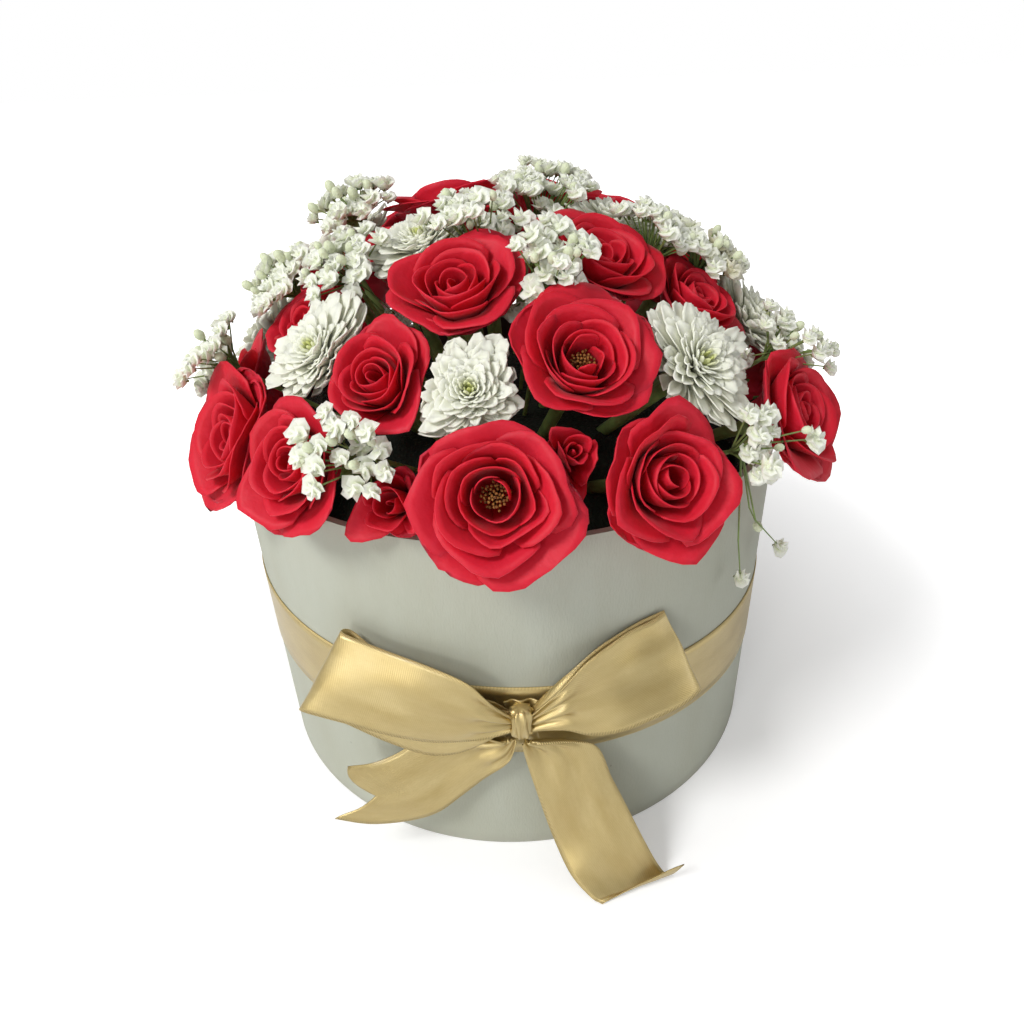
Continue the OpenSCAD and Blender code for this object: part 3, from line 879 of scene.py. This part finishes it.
def grow_chrysanthemum(bloom, settings, finishes):
    """All the petals of one chrysanthemum as one piece, and its stem and cup as another"""
    dice = bloom.dice
    bm = bmesh.new()
    layer = bm.loops.layers.float_color.new("Tone")
    first = dice.uniform(0, 6.28)
    scale = bloom.reach / ROSE_REACH
    for k in range(settings.petals):
        age = ((k + 0.5) / settings.petals) ** 0.72
        line = [
            mixed(a, b, age / 0.45) if age < 0.45 else mixed(b, c, (age - 0.45) / 0.55)
            for a, b, c in zip(YOUNG_LINE, HALF_LINE, OLD_LINE)
        ]
        turn = first + k * GOLDEN
        wide = (0.9 + 1.5 * smooth(0.0, 0.55, age)) * dice.uniform(0.85, 1.12)
        long = dice.uniform(0.90, 1.05)
        lift, droop = dice.uniform(-1.2, 2.4) * (0.3 + age), dice.uniform(-1.5, 3.0) * age
        twist, channel = dice.uniform(-0.5, 0.5), 1.2 * dice.uniform(0.6, 1.3)
        sway = dice.uniform(-1.6, 1.6) * age
        spots = petal_blank(bm, 4, 6)
        for vert, u, v in spots:
            tip = math.sqrt(max(0.0, 1 - max(0.0, (v - 0.80) / 0.20) ** 2 * 0.86))
            half = wide * (0.30 + 0.70 * smooth(0.0, 0.78, v)) * tip
            radius, height = bezier(line, v * long)
            ahead = bezier(line, v * long + 0.05)
            slope = Vector((ahead[0] - radius, ahead[1] - height)).normalized()
            inward = channel * u * u * (1 - 0.45 * v) * half / 2
            radius += -slope.y * inward
            height += slope.x * inward + lift * v + twist * u * half * v * 0.5 - droop * v * v
            height += 0.8 * smooth(0.80, 1.0, v) * (1 - age)
            radius = max(0.25, radius * scale)
            across = u * half + sway * v * v
            angle = turn + math.atan2(across, radius)
            vert.co = bloom.at(math.hypot(radius, across), angle, height - 1.2)
        dab([vert for vert, _, _ in spots], layer, (age, dice.random(), dice.random(), 1))
    name, slot = bloom.name, "chrysanthemum_petal"
    petals = piece(name + "_petals", bm, [finishes["petal"]], name, [name])
    thicken(petals, settings.thickness, -1)
    bm = bmesh.new()
    grow_stem(bloom, bm, bloom.face - 15, 2.4, 6.0)
    piece(name + "_stem", bm, [finishes["stem"]], name)


# Each sprig's florets: how far they spread in millimetres, how many, and how dry they are
SPRAYS = {
    "gypsophila_01": (17, 27, 0), "gypsophila_02": (17, 25, 0), "gypsophila_03": (15, 25, 0),
    "gypsophila_04": (17, 27, 0), "gypsophila_05": (13, 20, 0), "gypsophila_06": (18, 30, 0),
    "gypsophila_07": (16, 26, 0), "gypsophila_08": (15, 26, 0.8), "gypsophila_09": (14, 18, 0.1),
    "gypsophila_10": (16, 20, 0), "gypsophila_11": (14, 17, 0.2), "gypsophila_12": (14, 13, 0),
}


# Florets on twigs of their own, which hang over the wall or fill a gap between two heads:
# each twig's knee and end, in metres. A third one on a sprig is a bud.
TRAILS = {
    "gypsophila_03": [
        ((-0.044, -0.038, 0.202), (-0.036, -0.033, 0.191)),
        ((-0.046, -0.042, 0.203), (-0.040, -0.034, 0.192)),
    ],
    "gypsophila_05": [
        ((0.013, -0.066, 0.210), (0.0085, -0.066, 0.203)),
        ((0.011, -0.064, 0.208), (0.003, -0.064, 0.2025)),
    ],
    "gypsophila_09": [((0.090, -0.052, 0.180), (0.083, -0.052, 0.179))],
    "gypsophila_12": [
        ((0.084, -0.083, 0.132), (0.100, -0.068, 0.110)),
        ((0.078, -0.086, 0.126), (0.081, -0.085, 0.109)),
        ((0.083, -0.078, 0.134), (0.087, -0.078, 0.126)),
    ],
}
TRAIL_FACING = Vector((0.5, -0.6, 0.2))

# A floret is a ball of ten columns and six rings, folded in and out by turns
COLUMNS = 10
RINGS = 6


def floret(bm, layer, spot, facing, size, dry, dice):
    """A ball of crumpled white petals over a green calyx"""
    turn = facing.to_track_quat("Z", "Y").to_matrix().to_4x4()
    base = Matrix.Translation(spot) @ turn @ Matrix.Rotation(dice.uniform(0, 6.28), 4, "Z")
    made = bmesh.ops.create_uvsphere(
        bm, u_segments=COLUMNS, v_segments=RINGS, radius=1.0
    )["verts"]
    for vert in made:
        ring = round(math.acos(max(-1, min(1, vert.co.z))) * RINGS / math.pi)
        column = round(math.atan2(vert.co.y, vert.co.x) * COLUMNS / (2 * math.pi))
        lobe = ring in (0, RINGS) or (ring + column) % 2 == 0
        pull = (1.22 if lobe else 0.60) * dice.uniform(0.85, 1.15)
        rise = 0.62 * vert.co.z + (0.22 if lobe else -0.1) - (0.5 if ring == 0 else 0)
        # Red carries the pull, which the floret finish turns into painted shade in the hollows
        dab([vert], layer, (pull, dice.random(), dry, 1))
        vert.co = Vector((vert.co.x * pull, vert.co.y * pull, rise)) * size
    bmesh.ops.transform(bm, matrix=base, verts=made)
    calyx = bmesh.ops.create_cone(
        bm, cap_ends=True, segments=6, radius1=size * 0.10, radius2=size * 0.40,
        depth=size * 0.6, matrix=base @ Matrix.Translation((0, 0, -size * 0.55)),
    )["verts"]
    coat(calyx, 1)


def bud(bm, layer, spot, facing, size):
    """A small closed bud"""
    turn = facing.to_track_quat("Z", "Y").to_matrix().to_4x4()
    long = Matrix.Diagonal((1, 1, 1.35, 1))
    made = bmesh.ops.create_icosphere(
        bm, subdivisions=2, radius=size, matrix=Matrix.Translation(spot) @ turn @ long
    )["verts"]
    dab(made, layer, (0, 0, 0, 1))


def grow_gypsophila(bloom, heads, settings, finishes):
    """One sprig: a stem, forked twigs, ruffled florets and a few buds, clear of the heads"""
    dice = bloom.dice
    wide, count, dry = SPRAYS[bloom.name]
    bm = bmesh.new()
    layer = bm.loops.layers.float_color.new("Tone")
    top = bloom.face - 20
    grow_stem(bloom, bm, top, 0.85, 0.7)
    coat(bm.verts, 1)
    axis = bloom.stand.to_3x3() @ Vector((0, 0, 1))

    def spot(radius, angle, level):
        """A point beside the stem, from millimetres"""
        flat = Vector((radius * math.cos(angle), radius * math.sin(angle), level))
        return bloom.stand @ (flat * MM)

    for k in range(count + count // 2):
        closed = k >= count
        share = math.sqrt((k % count + 0.5) / count)
        radius = wide * share * dice.uniform(0.8, 1.12) * (1.12 if closed else 1)
        angle = (k + 0.37 * closed) * GOLDEN
        level = bloom.face - 7 - 5.0 * share * share + dice.uniform(-5.0, 4.0) + (2 if closed else 0)
        tip = spot(radius, angle, level)
        for _ in range(LIFT_STEPS):
            if any(head.holds(tip) for head in heads):
                tip += axis * LIFT
        knee = spot(0.35 * radius, angle + 0.3, top + 5)
        foot = spot(0, 0, top - 3 + 3 * share)
        coat(twig(bm, foot, knee, 0.00045, 0.00035) + twig(bm, knee, tip, 0.00035, 0.00022), 1)
        facing = (axis + (tip - knee).normalized() * 0.8).normalized()
        if closed:
            bud(bm, layer, tip, facing, dice.uniform(0.0012, 0.0019))
        else:
            size, age = settings.size * dice.uniform(0.75, 1.1), dry * dice.uniform(0.4, 1.2)
            floret(bm, layer, tip, facing, size, age, dice)
    for index, (knee, tip) in enumerate(TRAILS.get(bloom.name, [])):
        foot = spot(0, 0, top + 4)
        knee, tip = Vector(knee), Vector(tip)
        coat(twig(bm, foot, knee, 0.0004, 0.0003) + twig(bm, knee, tip, 0.0003, 0.0002), 1)
        if index == 2:
            bud(bm, layer, tip, tip - knee, 0.0017)
        else:
            floret(bm, layer, tip, TRAIL_FACING, settings.size * 0.95, 0.1, dice)
    name, both = bloom.name, [finishes["floret"], finishes["stem"]]
    piece(name + "_sprig", bm, both, name, [name], crisp=True)


# ------------------------------------------------------------------ ribbon

# Each row is [edge x, y, z, other edge x, y, z, cup] in millimetres, as the bow was folded
LOOP_LEFT = [
    [-2.5, -117, 79, -2.5, -117, 72, 0], [-10, -120, 90, -14, -118, 69, 0.5],
    [-17, -119, 97, -28, -119, 69, 1], [-29, -115, 101, -43, -119, 73, 1],
    [-43, -109, 103, -59, -116, 77, 1], [-56, -104, 106, -73, -113, 80, 0.5],
    [-59, -101, 106, -76, -110, 79, 0], [-56, -98, 103, -73, -107, 76, 0],
    [-46, -104, 97, -62, -108, 69, 0], [-34, -108, 91, -46, -111, 61, 0],
    [-20, -111, 85, -31, -112, 55, 0], [-10, -113, 82, -16, -114, 60, 0],
    [-2.5, -115, 78, -2.5, -115, 72, 0],
]
LOOP_RIGHT = [
    [4.5, -117, 72, 4.5, -117, 79, 0], [15, -118, 73, 15, -119, 93, -0.5],
    [24, -120, 71, 23, -116, 100, -1], [35, -121, 73, 31, -111, 103, -1],
    [46, -119, 76, 39, -106, 105, -1], [57, -115, 78, 47, -102, 106, -0.5],
    [64, -110, 80, 51, -99, 107, 0], [61, -107, 78, 49, -100, 107, 0],
    [52, -108, 75, 42, -103, 106, 0], [42, -110, 73, 34, -107, 104, 0],
    [31, -112, 71, 26, -110, 100, 0], [18, -114, 69, 16, -113, 91, 0],
    [4.5, -115, 72, 4.5, -115, 78, 0],
]
TAIL_LEFT = [
    [-5, -116, 65.5, -1, -116, 65.5, 0], [-12, -113, 66, -4, -115, 54, 0],
    [-24, -109, 68, -14, -114, 43, 0], [-35, -109, 62, -23, -114, 34, 0],
    [-44, -110, 55, -32, -115, 27, 1], [-54, -111, 51, -43, -115, 23, 1],
    [-62, -112, 51, -58, -115, 22, 0], [-63, -112, 51, -71, -115, 26, 0],
]
TAIL_RIGHT = [
    [1, -117, 65.5, 6, -117, 65.5, 0], [2, -117, 57, 26, -115, 61, 0],
    [5, -119, 44, 33, -118, 46, 1], [11, -123, 21, 38, -121, 35, 1],
    [17, -131, 9, 45, -125, 19, 0], [24, -136, 2, 51, -127, 6, 0],
    [27, -137.5, 0.8, 55, -129, 3, 0.5], [29, -138.5, 0.5, 60, -129, 9, 1],
]

# Pleats across a gathered ribbon, and steps between two of its rows
PLEATS = 3
STEPS = 8

# The knot's place in metres, and in millimetres its half sizes and those of the turn behind it
KNOT = Vector((1, -116, 75)) * MM
KNOT_WIDE, KNOT_DEEP, KNOT_TALL = 4.3, 4.6, 6.4
WRAP_BACK, WRAP_FOOT, WRAP_TALL, WRAP_HALF = -112.6, 60, 21.5, 6.2

# The band runs round the drum, a little higher on one side, in metres
BAND_HEIGHT = 0.069
BAND_RADIUS = 0.1103
BAND_TILT = math.radians(3)


def eased(rows, at):
    """The row at a place between rows, on a smooth curve through them"""
    k = min(int(at), len(rows) - 2)
    t = at - k
    a, b, c, d = rows[max(k - 1, 0)], rows[k], rows[k + 1], rows[min(k + 2, len(rows) - 1)]
    curve = []
    for p, q, r, s in zip(a, b, c, d):
        bend, turn = 2 * p - 5 * q + 4 * r - s, 3 * q - p - 3 * r + s
        curve.append(0.5 * (2 * q + (r - p) * t + bend * t * t + turn * t**3))
    return curve


def lay_ribbon(bm, rows, width, trim=None):
    """Satin laid along rows of edges, pleated where it is gathered. Returns its flat length."""
    layer = bm.loops.layers.uv.new("Weave")
    last = len(rows) - 1
    centres = []
    for i in range(last * STEPS + 1):
        row = eased(rows, i / STEPS)
        centres.append(Vector(row[0:3]).lerp(Vector(row[3:6]), 0.5) * MM)
    run = [0.0]
    for a, b in zip(centres, centres[1:]):
        run.append(run[-1] + (b - a).length)
    made = bmesh.ops.create_grid(bm, x_segments=16, y_segments=last * STEPS, size=1.0)["verts"]
    for vert in made:
        t, at = (vert.co.x + 1) / 2, (vert.co.y + 1) / 2 * last
        if trim:
            at = trim(at, t, last)
        row = eased(rows, at)
        edge_a, edge_b = Vector(row[0:3]) * MM, Vector(row[3:6]) * MM
        ahead, behind = eased(rows, min(last, at + 0.1)), eased(rows, max(0, at - 0.1))
        along = Vector([ahead[i] + ahead[i + 3] - behind[i] - behind[i + 3] for i in range(3)])
        out = along.cross(edge_b - edge_a).normalized()
        wide = (edge_b - edge_a).length
        slack = max(0, width / wide - 1)
        fold = min(0.0014, wide / (math.pi * PLEATS) * math.sqrt(slack)) * smooth(0.05, 0.7, slack)
        gone = run[min(len(run) - 1, round(at * STEPS))]
        near = min(gone, run[-1] - gone) if not trim else gone
        crease = 0.0006 * math.exp(-near / 0.020) + 0.00005
        soft = 0.0006 * noise.noise((at * 0.9, t * 2.2, rows[0][0]))
        lift = row[6] * MM * 4 * t * (1 - t) + fold * math.sin(2 * math.pi * PLEATS * t + 0.8)
        lift += crease * math.sin(2 * math.pi * (2.4 * t + 0.15 * at)) + soft * math.sin(math.pi * t)
        for loop in vert.link_loops:
            loop[layer].uv = (t * width, gone)
        vert.co = edge_a.lerp(edge_b, t) + out * lift
    return run[-1]


def swallow(at, t, last):
    """A ribbon end cut to two points"""
    return at - 1.5 * (1 - abs(2 * t - 1)) * smooth(last - 3, last, at)


def corner(at, t, last):
    """A ribbon end cut on the slant"""
    return at - 0.5 * (1 - t) * smooth(last - 2, last, at)


def satin_piece(name, rows, ribbon, material, trim=None):
    """One loop or tail of the bow"""
    bm = bmesh.new()
    long = lay_ribbon(bm, rows, ribbon.width, trim)
    area = sum(face.calc_area() for face in bm.faces)
    made = piece(name + "_satin", bm, [material], "box", [name])
    thicken(made, ribbon.thickness, 0)
    return made


# ------------------------------------------------------------------ operators


class FLOWERBOX_OT_drum(bpy.types.Operator):
    """Finish the drum's wall, base board and lining"""

    bl_idname = "flowerbox.drum"
    bl_label = "Drum"

    def execute(self, context):
        drum = context.scene.flowerbox_drum
        paper = paper_finish(drum)
        refinish("box_wall", paper)
        refinish("box_base", paper)
        refinish("box_lining", lining_finish(drum))
        return {"FINISHED"}


class FLOWERBOX_OT_core(bpy.types.Operator):
    """Finish the film cup and the foam that hold the water"""

    bl_idname = "flowerbox.core"
    bl_label = "Foam and film"

    def execute(self, context):
        drum = context.scene.flowerbox_drum
        refinish("liner_film", film_finish(drum))
        refinish("floral_foam", foam_finish(drum))
        return {"FINISHED"}


class FLOWERBOX_OT_band(bpy.types.Operator):
    """Stretch the satin band round the drum"""

    bl_idname = "flowerbox.band"
    bl_label = "Ribbon band"

    def execute(self, context):
        ribbon = context.scene.flowerbox_ribbon
        material = settled("Gold satin", satin_finish, ribbon)
        bm = bmesh.new()
        layer = bm.loops.layers.uv.new("Weave")
        made = bmesh.ops.create_grid(bm, x_segments=8, y_segments=240, size=1.0)["verts"]
        around = 2 * math.pi * BAND_RADIUS
        for vert in made:
            t, turn = (vert.co.x + 1) / 2, (vert.co.y + 1) / 2
            for loop in vert.link_loops:
                loop[layer].uv = (t * ribbon.width, turn * around)
            angle = 2 * math.pi * turn + math.pi / 2
            level = BAND_HEIGHT - BAND_RADIUS * math.cos(angle) * math.sin(BAND_TILT)
            level += (0.5 - t) * ribbon.width
            vert.co = (BAND_RADIUS * math.cos(angle), BAND_RADIUS * math.sin(angle), level)
        bmesh.ops.remove_doubles(bm, verts=bm.verts, dist=1e-6)
        band = piece("ribbon_band_satin", bm, [material], "box", ["ribbon_band"])
        thicken(band, ribbon.thickness, 0)
        return {"FINISHED"}


class FLOWERBOX_OT_bow(bpy.types.Operator):
    """Fold the two loops and lay the two tails of the bow"""

    bl_idname = "flowerbox.bow"
    bl_label = "Bow"

    def execute(self, context):
        ribbon = context.scene.flowerbox_ribbon
        material = settled("Gold satin", satin_finish, ribbon)
        satin_piece("bow_loop_left", LOOP_LEFT, ribbon, material)
        satin_piece("bow_loop_right", LOOP_RIGHT, ribbon, material)
        satin_piece("bow_tail_left", TAIL_LEFT, ribbon, material, swallow)
        satin_piece("bow_tail_right", TAIL_RIGHT, ribbon, material, corner)
        return {"FINISHED"}


class FLOWERBOX_OT_knot(bpy.types.Operator):
    """Wrap the knot with its upright folds and the crinkled turn behind it"""

    bl_idname = "flowerbox.knot"
    bl_label = "Knot"

    def execute(self, context):
        ribbon = context.scene.flowerbox_ribbon
        material = settled("Gold satin", satin_finish, ribbon)
        bm = bmesh.new()
        layer = bm.loops.layers.uv.new("Weave")
        made = bmesh.ops.create_uvsphere(bm, u_segments=48, v_segments=20, radius=1.0)["verts"]
        for vert in made:
            angle, high = math.atan2(vert.co.y, vert.co.x), vert.co.z
            full = math.hypot(vert.co.x, vert.co.y) ** 0.45
            folds = 1 + 0.10 * math.sin(9 * angle + 1.5 * high) + 0.05 * math.sin(17 * angle - 2 * high)
            waist = 1 - 0.16 * math.cos(math.pi * high)
            across = KNOT_WIDE * waist * math.cos(angle)
            deep = KNOT_DEEP * math.sin(angle)
            spot = Vector((full * folds * across, full * folds * deep, KNOT_TALL * high))
            for loop in vert.link_loops:
                loop[layer].uv = (0.002 + 0.0045 * (angle + 3.2), 0.009 * high)
            vert.co = KNOT + spot * MM
        piece("bow_knot_satin", bm, [material], "box", ["bow_knot"])
        bm = bmesh.new()
        layer = bm.loops.layers.uv.new("Weave")
        made = bmesh.ops.create_grid(bm, x_segments=20, y_segments=40, size=1.0)["verts"]
        for vert in made:
            t, high = vert.co.x, (vert.co.y + 1) / 2
            for loop in vert.link_loops:
                loop[layer].uv = (0.016 + 0.014 * t, 0.041 * high)
            pinch = 0.72 + 0.28 * abs(2 * high - 1.1)
            crinkle = 0.5 * math.sin(6 * t + 2 * math.sin(4 * high))
            crinkle += 0.6 * noise.noise((2 * t, 5 * high, 2))
            x, y = 1 + WRAP_HALF * t * pinch, WRAP_BACK + 1.1 * crinkle
            vert.co = Vector((x, y, WRAP_FOOT + WRAP_TALL * high)) * MM
        wrap = piece("bow_wrap_satin", bm, [material], "box", ["bow_knot"])
        thicken(wrap, ribbon.thickness, 0)
        return {"FINISHED"}


class FLOWERBOX_OT_roses(bpy.types.Operator):
    """Grow every rose: petals, sepals, stamens and stem"""

    bl_idname = "flowerbox.roses"
    bl_label = "Roses"

    def execute(self, context):
        scene = context.scene
        roses = scene.flowerbox_roses
        finishes = {
            "face": rose_finish(roses, False),
            "reverse": rose_finish(roses, True),
            "stem": settled("Green stem", stem_finish, scene.flowerbox_gypsophila),
            "stamen": stamen_finish(),
        }
        for name in sorted(n for n in STEMS if n.startswith("rose")):
            grow_rose(Bloom(name), roses, finishes)
        return {"FINISHED"}


class FLOWERBOX_OT_chrysanthemums(bpy.types.Operator):
    """Grow every chrysanthemum: petals, cup and stem"""

    bl_idname = "flowerbox.chrysanthemums"
    bl_label = "Chrysanthemums"

    def execute(self, context):
        scene = context.scene
        finishes = {
            "petal": chrysanthemum_finish(scene.flowerbox_chrysanthemums),
            "stem": settled("Green stem", stem_finish, scene.flowerbox_gypsophila),
        }
        for name in sorted(n for n in STEMS if n.startswith("chrysanthemum")):
            grow_chrysanthemum(Bloom(name), scene.flowerbox_chrysanthemums, finishes)
        return {"FINISHED"}


class FLOWERBOX_OT_gypsophila(bpy.types.Operator):
    """Grow every sprig of gypsophila: twigs, florets and buds"""

    bl_idname = "flowerbox.gypsophila"
    bl_label = "Gypsophila"

    def execute(self, context):
        gypsophilas = context.scene.flowerbox_gypsophila
        finishes = {
            "floret": floret_finish(gypsophilas),
            "stem": settled("Green stem", stem_finish, gypsophilas),
        }
        heads = [Bloom(name) for name in STEMS if not name.startswith("gypsophila")]
        for name in sorted(n for n in STEMS if n.startswith("gypsophila")):
            grow_gypsophila(Bloom(name), heads, gypsophilas, finishes)
        return {"FINISHED"}


class FLOWERBOX_OT_stage(bpy.types.Operator):
    """Set the floor, the lamps, the sky and the camera"""

    bl_idname = "flowerbox.stage"
    bl_label = "Stage"

    def execute(self, context):
        settings = context.scene.flowerbox_stage
        self.floor()
        self.sky(context.scene, settings)
        self.lamp("Key lamp", (-1.25, -1.0, 1.75), 0.7, settings.key)
        self.lamp("Front lamp", (-0.60, -1.30, 0.48), 0.40, settings.fill)
        self.lamp("Side lamp", (1.30, -0.72, 0.30), 0.30, settings.side)
        self.camera(context.scene)
        context.scene.view_settings.view_transform = "Standard"
        return {"FINISHED"}

    def floor(self):
        """A pale table that keeps the shadow and runs out to white"""
        bm = bmesh.new()
        sunk = Matrix.Translation((0, 0, -0.0002))
        bmesh.ops.create_grid(bm, x_segments=1, y_segments=1, size=4.0, matrix=sunk)
        mesh = bpy.data.meshes.new("Floor")
        bm.to_mesh(mesh)
        bm.free()
        floor = bpy.data.objects.new("Floor", mesh)
        bpy.context.scene.collection.objects.link(floor)
        material, tree, shader = finish("Pale floor", roughness=0.9, specular_ior_level=0.0)
        spot = where(tree)
        far = place(tree, "ShaderNodeVectorMath", {0: spot}, operation="LENGTH").outputs["Value"]
        speckle = spread(tree, grain(tree, spot, 400.0), 0.3, 0.7, 0.86, 0.90)
        tint = place(tree, "ShaderNodeCombineColor", {0: speckle, 1: speckle, 2: speckle}).outputs[0]
        wire(tree, shader, base_color=tint)
        seen = place(tree, "ShaderNodeLightPath").outputs["Is Camera Ray"]
        glow = sums(tree, "MULTIPLY", seen, spread(tree, far, 0.12, 0.45, 0.22, 1.0))
        shader.inputs["Emission Color"].default_value = (1, 1, 1, 1)
        tree.links.new(glow, shader.inputs["Emission Strength"])
        mesh.materials.append(material)

    def sky(self, scene, settings):
        """Even light, with plain white behind everything"""
        world = bpy.data.worlds.new("Sky")
        world.use_nodes = True
        tree = world.node_tree
        tree.nodes.clear()
        path = place(tree, "ShaderNodeLightPath").outputs
        strength = spread(tree, path["Is Camera Ray"], 0, 1, settings.sky, 1.0)
        light = place(tree, "ShaderNodeBackground", {"Color": (1, 1, 1, 1), "Strength": strength})
        place(tree, "ShaderNodeOutputWorld", {"Surface": light.outputs[0]})
        scene.world = world

    def lamp(self, name, spot, size, watts):
        """A round lamp that faces the middle of the object"""
        data = bpy.data.lights.new(name, "AREA")
        data.shape = "DISK"
        data.size = size
        data.energy = watts
        made = bpy.data.objects.new(name, data)
        made.location = spot
        made.rotation_euler = (Vector((0, 0, 0.1)) - Vector(spot)).to_track_quat("-Z", "Y").to_euler()
        bpy.context.scene.collection.objects.link(made)

    def camera(self, scene):
        """The camera looks down at the front of the box"""
        pitch, yaw, roll = math.radians(32.02), math.radians(0.18), math.radians(-2.29)
        level = math.cos(pitch)
        ahead = Vector((math.sin(yaw) * level, math.cos(yaw) * level, -math.sin(pitch)))
        right = ahead.cross(Vector((0, 0, 1))).normalized()
        up = right.cross(ahead)
        across = math.cos(roll) * right + math.sin(roll) * up
        above = math.cos(roll) * up - math.sin(roll) * right
        turn = Matrix((across, above, -ahead)).transposed().to_4x4()
        data = bpy.data.cameras.new("Camera")
        data.sensor_width = 36
        data.lens = 27.97
        data.clip_start = 0.01
        made = bpy.data.objects.new("Camera", data)
        made.matrix_world = Matrix.Translation((0, -0.3107, 0.2818)) @ turn
        scene.collection.objects.link(made)
        scene.camera = made


class FLOWERBOX_PT_panel(bpy.types.Panel):
    """Settings and steps of the flower box"""

    bl_idname = "FLOWERBOX_PT_panel"
    bl_label = "Flower Box"
    bl_space_type = "VIEW_3D"
    bl_region_type = "UI"
    bl_category = "Flower Box"

    def draw(self, context):
        for settings, steps in PARTS:
            box = self.layout.box()
            held = getattr(context.scene, settings)
            for name in held.__annotations__:
                box.prop(held, name)
            for step in steps:
                box.operator(step.bl_idname)


SETTINGS = {
    "flowerbox_drum": DrumSettings,
    "flowerbox_ribbon": RibbonSettings,
    "flowerbox_roses": RoseSettings,
    "flowerbox_chrysanthemums": ChrysanthemumSettings,
    "flowerbox_gypsophila": GypsophilaSettings,
    "flowerbox_stage": StageSettings,
}
PARTS = [
    ("flowerbox_drum", [FLOWERBOX_OT_drum, FLOWERBOX_OT_core]),
    ("flowerbox_ribbon", [FLOWERBOX_OT_band, FLOWERBOX_OT_bow, FLOWERBOX_OT_knot]),
    ("flowerbox_roses", [FLOWERBOX_OT_roses]),
    ("flowerbox_chrysanthemums", [FLOWERBOX_OT_chrysanthemums]),
    ("flowerbox_gypsophila", [FLOWERBOX_OT_gypsophila]),
    ("flowerbox_stage", [FLOWERBOX_OT_stage]),
]
CLASSES = [*SETTINGS.values(), *(step for _, steps in PARTS for step in steps), FLOWERBOX_PT_panel]


def register():
    """Adds the settings, the steps and the panel"""
    for cls in CLASSES:
        bpy.utils.register_class(cls)
    for name, cls in SETTINGS.items():
        setattr(bpy.types.Scene, name, bpy.props.PointerProperty(type=cls))


def unregister():
    """Takes them away again"""
    for name in SETTINGS:
        delattr(bpy.types.Scene, name)
    for cls in reversed(CLASSES):
        bpy.utils.unregister_class(cls)


def main():
    """Runs every step"""
    register()
    bpy.ops.flowerbox.drum()
    bpy.ops.flowerbox.core()
    bpy.ops.flowerbox.band()
    bpy.ops.flowerbox.bow()
    bpy.ops.flowerbox.knot()
    bpy.ops.flowerbox.roses()
    bpy.ops.flowerbox.chrysanthemums()
    bpy.ops.flowerbox.gypsophila()
    bpy.ops.flowerbox.stage()


if __name__ == "__main__":
    main()
